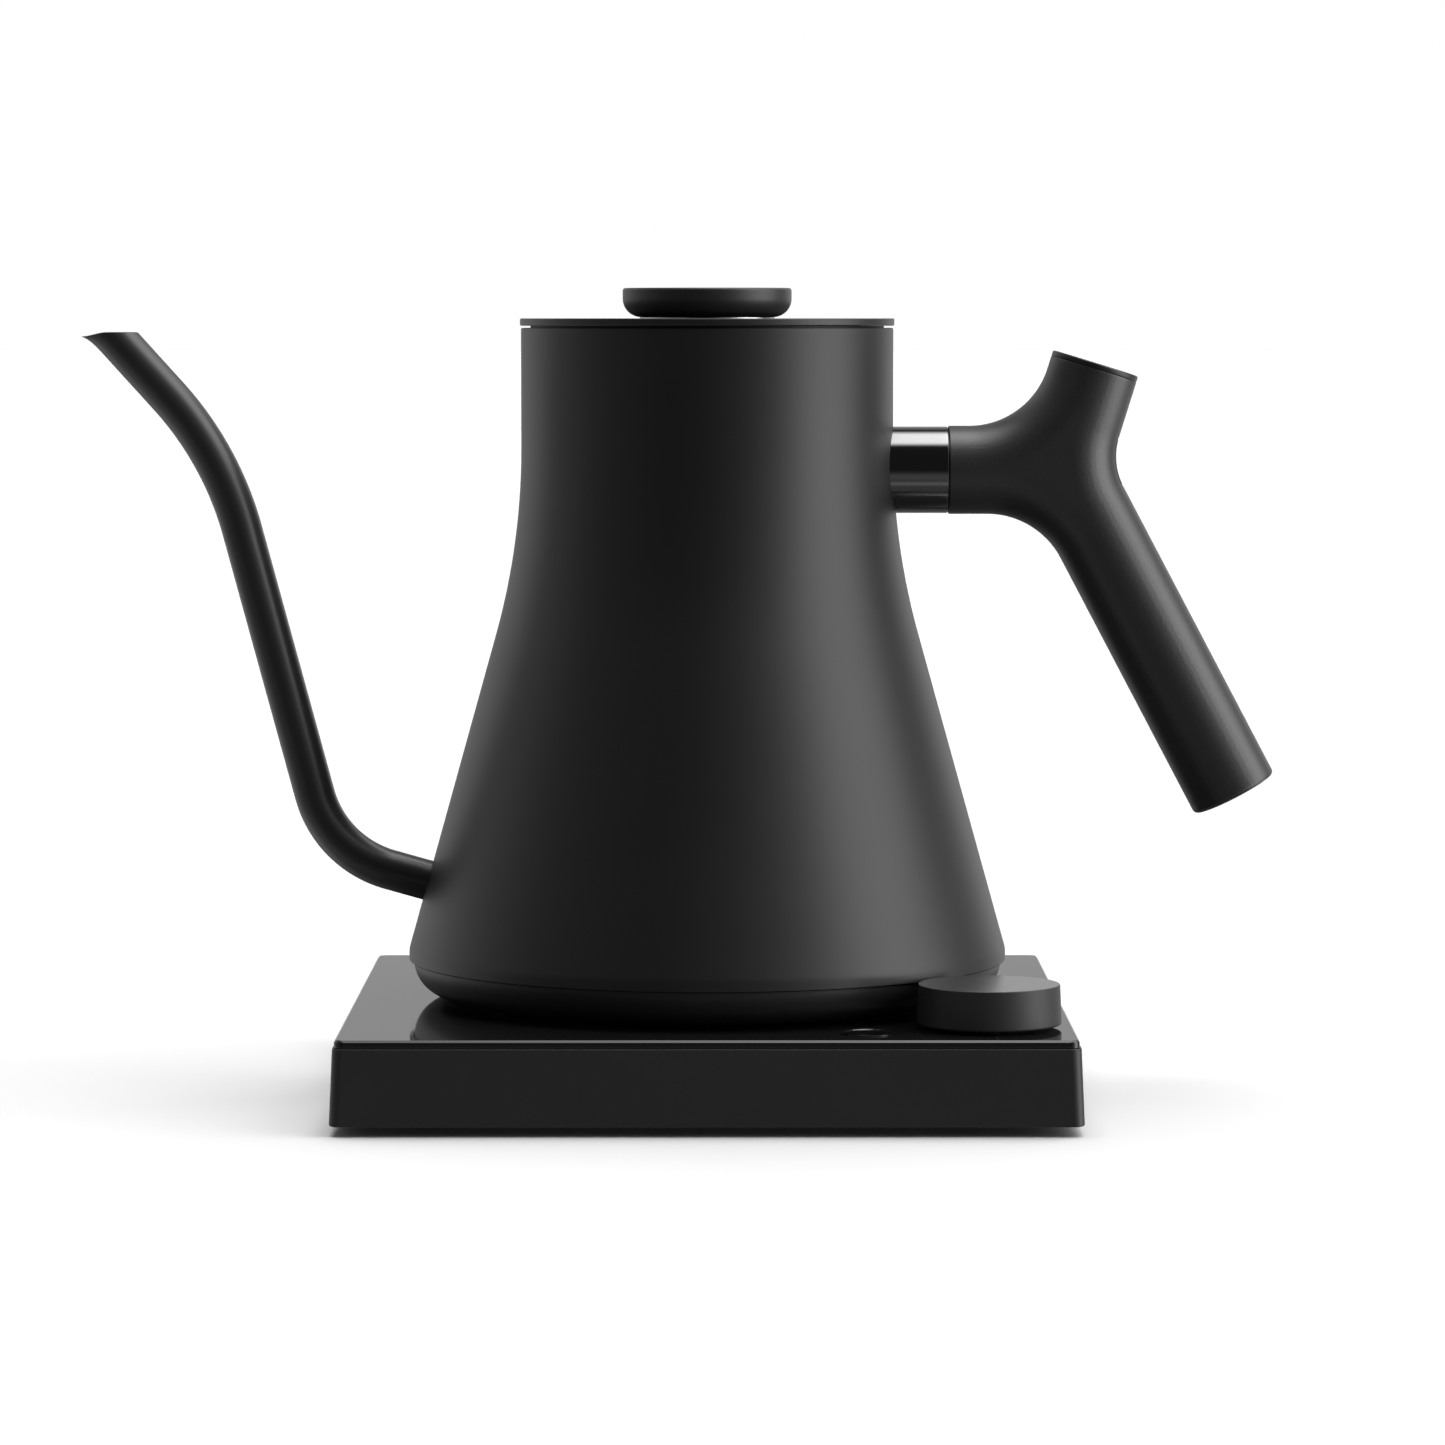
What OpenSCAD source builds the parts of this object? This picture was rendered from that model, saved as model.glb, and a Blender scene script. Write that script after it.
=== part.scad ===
// Electric pouring kettle with a long curved spout, on its square powered base.
// Millimetres, +Z up. The origin is where the kettle's axis meets the table.
// The spout points to -X, the handle to +X, and the dial and button are at -Y.

/* [Base] */
// Width and depth of the base at its lower edge
base_w = 175.1; // [170:0.1:190]
// How far each side wall leans in between its bottom and its top
base_draft = 0.75; // [0.25:0.05:1]
// Radius of the four upright corners
base_corner_r = 2.5; // [2.5:0.5:10]
// Space between the table and the lower edge of the housing
base_lift = 2.7; // [2.4:0.1:4]
// Height of the housing, from its lower edge to the glass
housing_h = 18.3; // [17.5:0.1:24]
// Thickness of the base's moulded walls
base_wall = 2.2; // [1.8:0.1:2.6]
// Thickness of the glass top
glass_t = 2; // [1.5:0.1:4]
// Strip of housing that shows round the glass
glass_inset = 1.3; // [0.5:0.1:1.5]
// How far the tray under the base is set in from its sides
tray_inset = 10.2; // [8:0.1:14]
// How far the rubber feet stand out below the tray
foot_proud = 0.6; // [0.4:0.1:1]
// Radius of each rubber foot
foot_r = 6; // [4:0.5:7]
// Distance of each corner foot's axis from the tray's two nearest sides
foot_inset = 11.35; // [11.35:1:27.35]

/* [Dial and button] */
// Distance of the dial's axis from the base's right side
dial_inset_x = 21.15; // [19.55:0.05:21.55]
// Distance of the dial's axis from the base's front side
dial_inset_y = 25.35; // [23.55:0.05:25.55]
// Radius of the dial at its lower edge
dial_r = 16.85; // [12:0.05:17]
// How much smaller the dial's radius is at its top
dial_taper = 0.3; // [0:0.1:1]
// Height of the dial's side
dial_h = 8.9; // [7.5:0.1:14]
// Gap between the glass and the dial
dial_gap = 1.4; // [0.8:0.1:2.5]
// Radius of the encoder shaft
shaft_r = 3; // [2.5:0.1:3.5]
// Distance across between the axes of dial and button
button_reach = 28.7; // [25.4:0.1:32.4]
// Distance of the button's axis from the base's front side
button_inset_y = 14.45; // [12.55:0.05:15.55]
// Radius of the power button
button_r = 6.3; // [5:0.1:7]
// How far the button travels
button_travel = 0.5; // [0.3:0.1:0.8]

/* [Connector] */
// Radius of the hub that the kettle stands over
hub_r = 15; // [14:0.1:16]
// Height of the hub above the glass
hub_h = 8; // [7:0.1:10]
// Running clearance between the hub and its turning ring
hub_clearance = 0.05; // [0.02:0.01:0.09]

/* [Kettle body] */
// Widest radius of the kettle, at the seam with its bottom cover
belly_r = 73.3; // [72:0.05:74.5]
// Radius of the straight neck
neck_r = 45.5; // [42:0.1:50]
// Height of the kettle from its standing face to the rim
kettle_h = 163.3; // [155:0.1:185]
// Height of the rounded bottom cover
cover_h = 8.5; // [8:0.1:11]
// Lean of the cone between belly and neck
cone_angle = 15.57; // [14.5:0.01:16.5]
// Radius of the long curve from cone to neck
blend_r = 171; // [120:1:190]
// Radius of the curve from the cone into the seam
foot_blend_r = 20; // [10:1:30]
// Thickness of the steel wall
body_wall = 0.8; // [0.6:0.1:1.2]

/* [Spout] */
// Outer radius of the spout tube
spout_r = 4.95; // [4.5:0.05:6]
// Thickness of the spout's wall
spout_wall = 0.8; // [0.6:0.1:1]
// Height of the spout's root above the kettle's standing face
spout_root_h = 27.6; // [24:0.1:32]
// Length of the root limb, from the kettle's wall to the first corner
spout_root_len = 24.8; // [23:0.1:30]
// Tilt of the root limb from upright
root_tilt = 74.3; // [68:0.1:80]
// Length of the long limb, from corner to corner
spout_limb_len = 101.6; // [95:0.1:110]
// Tilt of the long limb from upright
limb_tilt = 15.03; // [12:0.01:18]
// Tilt of the tip limb from upright
tip_tilt = 42.1; // [36:0.1:48]
// Height from the upper corner to the level mouth
mouth_rise = 29.7; // [24:0.1:34]
// How far the lip at the mouth droops below the level
lip_drop = 1; // [0:0.1:1.5]
// Bend radius at the lower corner
root_bend_r = 26.4; // [22:0.1:32]
// Bend radius at the upper corner
tip_bend_r = 80; // [60:1:95]

/* [Handle] */
// Depth of the handle's arm below the rim
arm_drop = 34.7; // [30:0.1:40]
// Distance from the neck to the crossing of the handle's axes
arm_reach = 41.6; // [39:0.05:46]
// Length of the polished collar on the neck
collar_len = 13.65; // [12:0.05:15]
// How far the axes of stub and grip cross above the arm's axis
cross_rise = 0.65; // [0:0.05:1.5]
// Radius of the collar
collar_r = 10.6; // [10:0.05:10.65]
// Radius of the arm of the handle
arm_r = 10.8; // [10.7:0.05:11.5]
// Radius of the stub and of the top of the grip
grip_r = 10.9; // [10.8:0.05:12]
// Radius of the grip at its lower end
grip_end_r = 10.95; // [10.8:0.05:12]
// Length of the stub above the crossing of the axes
stub_len = 26.6; // [26:0.1:32]
// Lean of the stub from upright
stub_tilt = 17.2; // [14:0.1:20]
// Length of the grip below the crossing of the axes
grip_len = 91.2; // [80:0.1:105]
// Lean of the grip from upright
grip_tilt = 27.9; // [24:0.1:32]
// Radius of the hollow at the back, where the thumb rests
waist_r = 16; // [15:0.5:24]
// Radius of the curve from the arm up into the stub
stub_fillet_r = 20; // [15:0.5:21]
// Radius of the curve from the arm down into the grip
grip_fillet_r = 20.5; // [16:0.5:22]
// Thickness of the cap on the stub
cap_t = 1.4; // [1:0.1:3]

/* [Lid] */
// Radius of the lid's plate
lid_r = 45.75; // [45.7:0.05:48]
// Thickness of the lid's plate
lid_t = 1.8; // [1.5:0.1:3]
// Gap between the rim and the lid's plate
lid_gap = 0.5; // [0.4:0.1:1]
// Depth of the cup under the lid
lid_cup_h = 10; // [9:0.1:14]
// Radius of the knob
knob_r = 20.65; // [18:0.05:24]
// Height of the knob
knob_h = 7.1; // [6.5:0.1:12]
// Radius of the knob's rounded lower edge
knob_round = 4.5; // [3:0.1:5]

/* [Hidden] */
$fn = 96;

eps = 0.5;            // how far a cut runs past the face it opens
same_body_gap = 0.05; // clearance round a piece that is held in another of its own body
moving_gap = 0.3;     // clearance between bodies that move apart
weld_gap = 0.02;      // gap left where a tube is welded to the kettle's wall

// Base levels
housing_top = base_lift + housing_h;
glass_top = housing_top + glass_t;
roof_z = housing_top - base_wall;
tray_top = foot_proud + base_wall;
inner_w = base_w - 2 * base_wall;
least_corner_r = 1;
inner_corner_r = max(base_corner_r - base_wall, least_corner_r);
cover_w = inner_w - 2 * base_draft - 2 * moving_gap;
tray_w = base_w - 2 * tray_inset;
tray_pocket_w = tray_w - 2 * base_wall;
glass_w = base_w - 2 * base_draft - 2 * glass_inset;
foot_seat = base_wall / 2;
foot_xy = tray_w / 2 - foot_inset;
foot_at = concat([[0, 0]], [for (sx = [-1, 1]) for (sy = [-1, 1]) [sx * foot_xy, sy * foot_xy]]);

// Axes of dial and button
dial_x = base_w / 2 - dial_inset_x;
dial_y = base_w / 2 - dial_inset_y;
button_x = dial_x - button_reach;
button_y = base_w / 2 - button_inset_y;

// Screws between tray and roof
base_screw_inset = 15.35;
base_screw_x = inner_w / 2 - base_screw_inset;
base_screw_y = 30;
base_screw_at = [for (sx = [-1, 1]) for (sy = [-1, 1]) [sx * base_screw_x, sy * base_screw_y]];
screw_r = 1.25;
screw_head_r = 2.8;
screw_head_h = 1.2;
boss_r = 4;
base_screw_len = 10;

// Boards
board_t = 1.6;
board_drop = 8.8;
board_z = roof_z - board_drop;
board_top = board_z + board_t;
board_len = 118;
board_deep = 33;
board_inset_x = 5.35;
board_inset_y = 6.35;
board_right = inner_w / 2 - board_inset_x;
board_front = board_inset_y - inner_w / 2;
board_left = board_right - board_len;
board_back = board_front + board_deep;
post_in = 4;
post_r = 2.5;
post_by_dial = 14.4;
board_post_at = [for (x = [board_left + post_in, dial_x - post_by_dial])
    for (y = [board_back - post_in, board_front + post_in]) [x, y]];
display_reach = 43.7;
display_in_y = 13;
display_w = 44;
display_d = 14;
display_play = 0.2;
display_x = button_x - display_reach;
display_y = board_front + display_in_y;
buzzer_r = 5;
buzzer_h = 5.5;
buzzer_hole_r = 1;
buzzer_reach = 1.7;
buzzer_in_y = 8;
buzzer_at = [button_x - buzzer_reach, board_back - buzzer_in_y];
power_post_h = 3;
power_board_z = tray_top + power_post_h;
power_board_top = power_board_z + board_t;
power_board_x = 38;
power_board_d = 44;
power_board_inset = 13.35;
power_board_back = inner_w / 2 - power_board_inset;
power_board_front = power_board_back - power_board_d;
power_post_at = [for (sx = [-1, 1]) for (y = [power_board_front + post_in, power_board_back - post_in])
    [sx * (power_board_x - post_in), y]];
relay_w = 19;
relay_d = 15.5;
relay_h = 9.8;
relay_in = 8;
capacitor_r = 5;
capacitor_h = 9.6;
capacitor_x = 18;
capacitor_in = 20;
encoder_w = 13;
encoder_drop = 0.5;
encoder_floor = 1.2;
encoder_top = roof_z - encoder_drop;
bush_wall = 1.2;
switch_w = 6;
switch_h = 3;
switch_pin_r = 1.7;
switch_top = board_top + 3.6;
bush_r = shaft_r + bush_wall;

// Cord inlet
gland_z = base_lift + housing_h / 2;
gland_bore_r = 3.6;
gland_r = 4.95;
gland_flange_r = 6;
gland_flange_t = 2.3;
gland_pad_w = 16;
gland_pad_t = 4.4;
gland_pad_in = 3.3;
gland_proud = 0.8;
gland_pad_y = inner_w / 2 - base_draft - gland_pad_in;
gland_out_y = base_w / 2 + gland_proud;

// Connector levels and radii
hub_top = glass_top + hub_h;
hub_neck_r = hub_r + 3.5;
hub_neck_top = glass_top - 0.4;
hub_flange_r = hub_neck_r + 3.5;
hub_hole_r = 3.1;
hub_slot = [8.5, 10.5];
hub_slot_z = hub_neck_top - 0.6;
pin_r = 2.6;
pin_ring = [9.1, 9.9];
pin_z = hub_neck_top + 1.9;
ring_r = hub_neck_r - 0.6;
ring_z = hub_neck_top + 0.1;
ring_h = 3.5;
connector_roof_z = hub_top + 0.6;
connector_top = connector_roof_z + 3;
connector_r = hub_neck_r + 2.9;

// Kettle levels
stand_z = glass_top + moving_gap;
seam_z = stand_z + cover_h;
rim_z = stand_z + kettle_h;
spreader_t = 3;
spreader_z = connector_top + 0.4;
spreader_r = 58;
floor_z = spreader_z + spreader_t;
floor_t = 1.2;
floor_top = floor_z + floor_t;
cover_t = 2;
cover_step = 1.2;
cover_plate_z = stand_z + cover_step;
cover_inner_z = cover_plate_z + cover_t;
cover_screw_reach = 54;
cover_screw_at = [for (a = [30, 150, 270]) cover_screw_reach * [cos(a), sin(a)]];
probe_r = 2.9;
probe_reach = 33;
probe_at = [0, probe_reach];
probe_tail = 7;
probe_up = 4;
probe_tip = 1;
probe_flange = 2;
cutout_at = [[-probe_reach, 0], [probe_reach, 0]];
cutout_r = 7;
cutout_t = 3;
cutout_drop = 5.5;
cutout_step = 2.5;
cover_screw_len = 6;
cover_boss_r = 3.5;
cover_hole_deep = 7;
connector_flange = 5.5;
element_r = 3.2;
element_ring_r = 45;
element_sweep_angle = 320;

// Outline of the kettle's wall
foot_top_z = seam_z + foot_blend_r * sin(cone_angle);
foot_top_r = belly_r - foot_blend_r * (1 - cos(cone_angle));
cone_top_r = neck_r + blend_r * (1 - cos(cone_angle));
cone_top_z = foot_top_z + (foot_top_r - cone_top_r) / tan(cone_angle);
blend_top_z = cone_top_z + blend_r * sin(cone_angle);
curve_steps = 10;
body_heights = concat(
    [for (i = [0:4]) seam_z + foot_blend_r * sin(cone_angle * i / 4)],
    [for (i = [0:curve_steps]) blend_top_z - blend_r * sin(cone_angle * (1 - i / curve_steps))],
    [rim_z]);

// Radius of the kettle's outside at a height
function wall_r(z) =
    z >= blend_top_z ? neck_r :
    z >= cone_top_z ? neck_r + blend_r - sqrt(blend_r * blend_r - pow(blend_top_z - z, 2)) :
    z >= foot_top_z ? foot_top_r - (z - foot_top_z) * tan(cone_angle) :
    belly_r - foot_blend_r + sqrt(foot_blend_r * foot_blend_r - pow(z - seam_z, 2));

// Spout corners, in the X-Z plane
function spout_dir(tilt) = [-sin(tilt), 0, cos(tilt)];
function spout_side(tilt) = [cos(tilt), 0, sin(tilt)];
spout_root_z = stand_z + spout_root_h;
spout_root = [-wall_r(spout_root_z), 0, spout_root_z];
spout_low = spout_root + spout_root_len * spout_dir(root_tilt);
spout_high = spout_low + spout_limb_len * spout_dir(limb_tilt);
mouth_z = spout_high[2] + mouth_rise;
root_turn = root_tilt - limb_tilt;
tip_turn = tip_tilt - limb_tilt;
root_tangent = root_bend_r * tan(root_turn / 2);
tip_tangent = tip_bend_r * tan(tip_turn / 2);
spout_inside = 14;
spout_hole_in = 0.6;
spout_hole_len = 8;
spout_fn = 24;
lip_out = 0.55;
lip_len = 6.5;
root_bend_steps = 7;
tip_bend_steps = 4;

// Handle
arm_z = rim_z - arm_drop;
neck_at_arm = wall_r(arm_z);
handle_x = neck_at_arm + arm_reach;
cross_z = arm_z + cross_rise;
collar_end_x = neck_at_arm + collar_len;
collar_wall = 1;
arm_x = collar_end_x + 0.6;
bracket_r = collar_r - collar_wall - same_body_gap;
rod_r = 7;
handle_turn = stub_tilt + grip_tilt;
handle_bend_r = waist_r + grip_r;
handle_tangent = handle_bend_r * tan(handle_turn / 2);
bend_axis_angle = (grip_tilt - stub_tilt) / 2;
bend_offset = handle_bend_r / cos(handle_turn / 2);
stub_fillet_z = arm_r + stub_fillet_r;
stub_fillet_x = ((stub_fillet_z - cross_rise) * sin(stub_tilt) - grip_r - stub_fillet_r) / cos(stub_tilt);
stub_fillet_end = stub_fillet_x + stub_fillet_r * cos(stub_tilt);
grip_fillet_z = arm_r + grip_fillet_r;
grip_fillet_x = ((grip_fillet_z + cross_rise) * sin(grip_tilt) - grip_r - grip_fillet_r) / cos(grip_tilt);
grip_fillet_end = grip_fillet_x + grip_fillet_r * cos(grip_tilt);
arm_steps = 10;
bend_steps = 6;
shell_fn = 32;
stub_cavity_r = 7.8;
stub_floor = 14;
weight_r = 6;
weight_from = 22;
weight_to = grip_len - 5.4;
pad_t = 1.2;
pad_half_w = 3.4;
pad_margin = 1.5;
handle_screw_r = 2;

// Lid
lid_z = rim_z + lid_gap;
lid_top = lid_z + lid_t;
cup_r = neck_r - body_wall - 1.5;
cup_wall = 2.5;
cup_floor_t = 1.4;
gasket_h = 4;
gasket_z = lid_z - 6.6;
gasket_r = neck_r - body_wall - moving_gap;
groove_r = cup_r - 1;
washer_t = 0.3;
washer_r = knob_r - knob_round + 0.3;
knob_z = lid_top + washer_t;
knob_edge = 0.7;
lid_screw_r = 2;
lid_screw_up = 5;

// Points of an arc about a centre, between two angles
function arc(c, r, a0, a1, n) =
    [for (i = [0:n]) let (a = a0 + (a1 - a0) * i / n) [c[0] + r * cos(a), c[1] + r * sin(a)]];

// Outline of a square with round corners
function round_square(w, r) = let (c = w / 2 - r) concat(
    arc([c, c], r, 0, 90, 8), arc([-c, c], r, 90, 180, 8),
    arc([-c, -c], r, 180, 270, 8), arc([c, -c], r, 270, 360, 8));

// A circle about a point of the X-Z plane, square to a line that leans from upright
function circle_outline(at, lean, r, n) = [for (i = [0:n - 1])
    let (a = 360 * i / n)
    at + [r * cos(a) * cos(lean), r * sin(a), -r * cos(a) * sin(lean)]];

// A solid through a row of outlines that all have as many points. A closed one comes back
// to its first outline, and so has a bore; an open one has a flat face at each end.
module loft(rings, closed = false) {
    n = len(rings[0]);
    m = len(rings);
    caps = closed ? [] : [[for (i = [0:n - 1]) i], [for (i = [n - 1:-1:0]) (m - 1) * n + i]];
    sides = [for (k = [0:closed ? m - 1 : m - 2]) for (i = [0:n - 1])
        let (j = (i + 1) % n, a = k * n, b = ((k + 1) % m) * n)
        each [[a + i, b + j, a + j], [a + i, b + i, b + j]]];
    polyhedron(points = [for (r = rings) each r], faces = concat(caps, sides));
}

module plate(w, r, z0, z1) {
    translate([0, 0, z0]) linear_extrude(z1 - z0) polygon(round_square(w, r));
}

module post(at, r, z0, z1) {
    translate([at[0], at[1], z0]) cylinder(r = r, h = z1 - z0);
}

module ring(r0, r1, z0, z1) {
    rotate_extrude() translate([r0, z0]) square([r1 - r0, z1 - z0]);
}

// A screw that points up: its head starts at z and its shank is len long
module screw(at, z, head_r, head_h, r, len) {
    difference() {
        union() {
            post(at, head_r, z, z + head_h);
            post(at, r, z + head_h / 2, z + head_h + len);
        }
        translate([at[0], at[1], z - eps]) cylinder(r = head_r * 0.45, h = eps + head_h * 0.6, $fn = 6);
    }
}

// ---- Base ----

module housing_block(w_low, w_high, z0, z1) {
    translate([0, 0, z0]) linear_extrude(z1 - z0, scale = w_high / w_low)
        polygon(round_square(w_low, base_corner_r));
}

module base_housing() {
    color([0.05, 0.05, 0.055]) difference() {
        union() {
            difference() {
                housing_block(base_w, base_w - 2 * base_draft, base_lift, housing_top);
                housing_block(inner_w, inner_w - 2 * base_draft, base_lift - 0.01, roof_z);
            }
            for (p = base_screw_at) post(p, boss_r, tray_top, roof_z);
            for (p = board_post_at) post(p, post_r, board_top, roof_z);
            translate([-gland_pad_w / 2, gland_pad_y, gland_z - gland_flange_r])
                cube([gland_pad_w, gland_pad_t, roof_z - gland_z + gland_flange_r]);
        }
        for (p = base_screw_at) post(p, screw_r + same_body_gap, tray_top - eps, tray_top + base_screw_len);
        post([0, 0], hub_neck_r + 0.1, roof_z - eps, housing_top + eps);
        post([dial_x, -dial_y], bush_r + 0.2, roof_z - eps, housing_top + eps);
        post([button_x, -button_y], button_r + moving_gap, roof_z - eps, housing_top + eps);
        translate([display_x - display_w / 2 - display_play, display_y - display_d / 2 - display_play, roof_z - eps])
            cube([display_w + 2 * display_play, display_d + 2 * display_play, base_wall + 2 * eps]);
        translate([0, gland_pad_y - eps, gland_z]) rotate([-90, 0, 0])
            cylinder(r = gland_r + same_body_gap, h = gland_out_y - gland_pad_y + 2 * eps);
    }
}

module base_glass() {
    color([0.01, 0.01, 0.012]) difference() {
        plate(glass_w, base_corner_r - glass_inset, housing_top, glass_top);
        post([0, 0], hub_neck_r + 0.1, housing_top - eps, glass_top + eps);
        post([dial_x, -dial_y], shaft_r + 1, housing_top - eps, glass_top + eps);
        post([button_x, -button_y], button_r + moving_gap, housing_top - eps, glass_top + eps);
    }
}

module base_bottom_cover() {
    color([0.07, 0.07, 0.075]) difference() {
        union() {
            difference() {
                union() {
                    plate(cover_w, inner_corner_r, base_lift, base_lift + base_wall);
                    plate(tray_w, base_corner_r, foot_proud, base_lift + base_wall / 2);
                }
                plate(tray_pocket_w, inner_corner_r, tray_top, base_lift + base_wall + eps);
            }
            for (p = power_post_at) post(p, post_r, tray_top - base_wall / 2, power_board_z);
        }
        for (p = foot_at) post(p, foot_r + same_body_gap, foot_proud - eps, foot_proud + foot_seat);
        for (p = base_screw_at) {
            post(p, screw_head_r + 0.2, foot_proud - eps, foot_proud + screw_head_h);
            post(p, screw_r + 0.25, foot_proud, tray_top + eps);
        }
    }
}

module rubber_feet() {
    color([0.12, 0.12, 0.12]) for (p = foot_at)
        translate([p[0], p[1], 0]) rotate_extrude()
            polygon([[0, 0], [foot_r - 0.6, 0], [foot_r, 0.4], [foot_r, foot_proud + foot_seat], [0, foot_proud + foot_seat]]);
}

module base_screws() {
    color([0.6, 0.6, 0.62]) for (p = base_screw_at)
        screw(p, foot_proud, screw_head_r, screw_head_h, screw_r, base_screw_len - 1);
}

module socket_housing() {
    color([0.04, 0.04, 0.04]) difference() {
        union() {
            post([0, 0], hub_flange_r, roof_z - base_wall, roof_z);
            post([0, 0], hub_neck_r, board_z, hub_neck_top);
            post([0, 0], hub_r, board_z, hub_top - 0.6);
            translate([0, 0, hub_top - 0.6]) cylinder(r1 = hub_r, r2 = hub_r - 0.6, h = 0.6);
        }
        post([0, 0], hub_hole_r, hub_slot_z, hub_top + eps);
        ring(hub_slot[0], hub_slot[1], hub_slot_z, hub_top + eps);
    }
}

module socket_contacts() {
    color([0.85, 0.65, 0.3]) {
        post([0, 0], hub_hole_r - 0.1, hub_slot_z, hub_slot_z + 1.6);
        ring(hub_slot[0] + 0.1, hub_slot[1] - 0.1, hub_slot_z, hub_slot_z + 1.6);
    }
}

module control_board() {
    color([0.05, 0.25, 0.12]) translate([board_left, board_front, board_z])
        cube([board_len, board_deep, board_t]);
}

module display_panel() {
    color([0.15, 0.15, 0.17])
        translate([display_x - display_w / 2, display_y - display_d / 2, board_top])
            cube([display_w, display_d, housing_top - display_play - board_top]);
}

module rotary_encoder() {
    color([0.5, 0.5, 0.52]) difference() {
        union() {
            translate([dial_x - encoder_w / 2, -dial_y - encoder_w / 2, board_top])
                cube([encoder_w, encoder_w, encoder_top - board_top]);
            post([dial_x, -dial_y], bush_r, encoder_top - eps, housing_top - display_play);
        }
        post([dial_x, -dial_y], shaft_r + hub_clearance, board_top + encoder_floor, housing_top + eps);
    }
}

module button_switch() {
    color([0.1, 0.1, 0.1]) union() {
        translate([button_x - switch_w / 2, -button_y - switch_w / 2, board_top]) cube([switch_w, switch_w, switch_h]);
        post([button_x, -button_y], switch_pin_r, board_top + switch_h - eps, switch_top);
    }
}

module buzzer() {
    color([0.08, 0.08, 0.08]) difference() {
        post(buzzer_at, buzzer_r, board_top, board_top + buzzer_h);
        post(buzzer_at, buzzer_hole_r, board_top + buzzer_h - buzzer_hole_r, board_top + buzzer_h + eps);
    }
}

module power_board() {
    color([0.05, 0.25, 0.12]) translate([-power_board_x, power_board_front, power_board_z])
        cube([2 * power_board_x, power_board_d, board_t]);
}

module power_relay() {
    color([0.1, 0.1, 0.35]) translate([relay_in - power_board_x, power_board_front + relay_in, power_board_top])
        cube([relay_w, relay_d, relay_h]);
}

module supply_capacitor() {
    color([0.15, 0.2, 0.5]) post([capacitor_x, power_board_front + capacitor_in], capacitor_r,
        power_board_top, power_board_top + capacitor_h);
}

module cord_gland() {
    color([0.08, 0.08, 0.08]) translate([0, 0, gland_z]) rotate([-90, 0, 0]) difference() {
        union() {
            translate([0, 0, gland_pad_y - gland_flange_t]) cylinder(r = gland_flange_r, h = gland_flange_t);
            translate([0, 0, gland_pad_y - gland_flange_t]) cylinder(r = gland_r, h = gland_out_y - gland_pad_y + gland_flange_t);
        }
        translate([0, 0, gland_pad_y - gland_flange_t - eps])
            cylinder(r = gland_bore_r, h = gland_out_y - gland_pad_y + gland_flange_t + 2 * eps);
    }
}

module swivel_ring() {
    color([0.75, 0.75, 0.72]) ring(hub_r + hub_clearance, ring_r, ring_z, ring_z + ring_h);
}

// ---- Kettle ----

// Outline of the steel wall, moved in by a wall thickness or out by a negative one
function wall_outline(inset) = [for (z = body_heights) [wall_r(z) - inset, z]];

module kettle_body() {
    inner = wall_outline(body_wall);
    color([0.06, 0.06, 0.062]) difference() {
        rotate_extrude() polygon(concat(wall_outline(0), [for (i = [len(inner) - 1:-1:0]) inner[i]]));
        translate(spout_root) rotate([0, -root_tilt, 0])
            cylinder(r = spout_r - spout_wall - spout_hole_in, h = 2 * spout_hole_len, center = true);
    }
}

// The space that the kettle's wall encloses, grown a little
module kettle_envelope(grow) {
    rotate_extrude() polygon(concat([[0, seam_z]], wall_outline(-grow), [[0, rim_z]]));
}

// The line of the spout from inside the kettle to the end of its upper bend, as places and tilts
function spout_line() =
    let (low_c = spout_low - root_tangent * spout_dir(root_tilt) + root_bend_r * spout_side(root_tilt),
        high_c = spout_high - tip_tangent * spout_dir(limb_tilt) - tip_bend_r * spout_side(limb_tilt))
    concat(
        [[spout_root - spout_inside * spout_dir(root_tilt), root_tilt]],
        [for (i = [0:root_bend_steps]) let (t = root_tilt - root_turn * i / root_bend_steps)
            [low_c - root_bend_r * spout_side(t), t]],
        [for (i = [0:tip_bend_steps]) let (t = limb_tilt + tip_turn * i / tip_bend_steps)
            [high_c + tip_bend_r * spout_side(t), t]]);

// How much of the lip's droop a line along the tube gets: all of it at the front, none at the back
function lip_share(a) = let (s = max(0, min(1, -(cos(a) + 0.1) / 0.9))) s * s * (3 - 2 * s);

// A point of the straight length before the mouth, where 0 is its start and 1 the level mouth
function mouth_point(a, r, share) =
    let (start = spout_high + tip_tangent * spout_dir(tip_tilt),
        out = r * cos(a) * spout_side(tip_tilt) + [0, r * sin(a), 0],
        len = (mouth_z - start[2] - out[2]) / cos(tip_tilt),
        near = max(0, 1 - (1 - share) * len / lip_len))
    start + share * len * spout_dir(tip_tilt) + out - lip_share(a) * pow(near, 3) * [lip_out, 0, lip_drop];

function spout_rings(r) = concat(
    [for (s = spout_line()) circle_outline(s[0], -s[1], r, spout_fn)],
    [for (share = [0.4, 0.7, 0.82, 0.92, 1])
        [for (i = [0:spout_fn - 1]) mouth_point(360 * i / spout_fn, r, share)]]);

module spout() {
    outside = spout_rings(spout_r);
    bore = spout_rings(spout_r - spout_wall);
    color([0.05, 0.05, 0.052]) difference() {
        loft(concat(outside, [for (i = [len(bore) - 1:-1:0]) bore[i]]), closed = true);
        kettle_envelope(weld_gap);
    }
}

module floor_plate() {
    color([0.7, 0.7, 0.72]) difference() {
        rotate_extrude() polygon([[0, floor_z], [wall_r(floor_z) - body_wall - weld_gap, floor_z],
            [wall_r(floor_top) - body_wall - weld_gap, floor_top], [0, floor_top]]);
        post(probe_at, probe_r + 1.1, floor_z - eps, floor_top + eps);
    }
}

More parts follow.
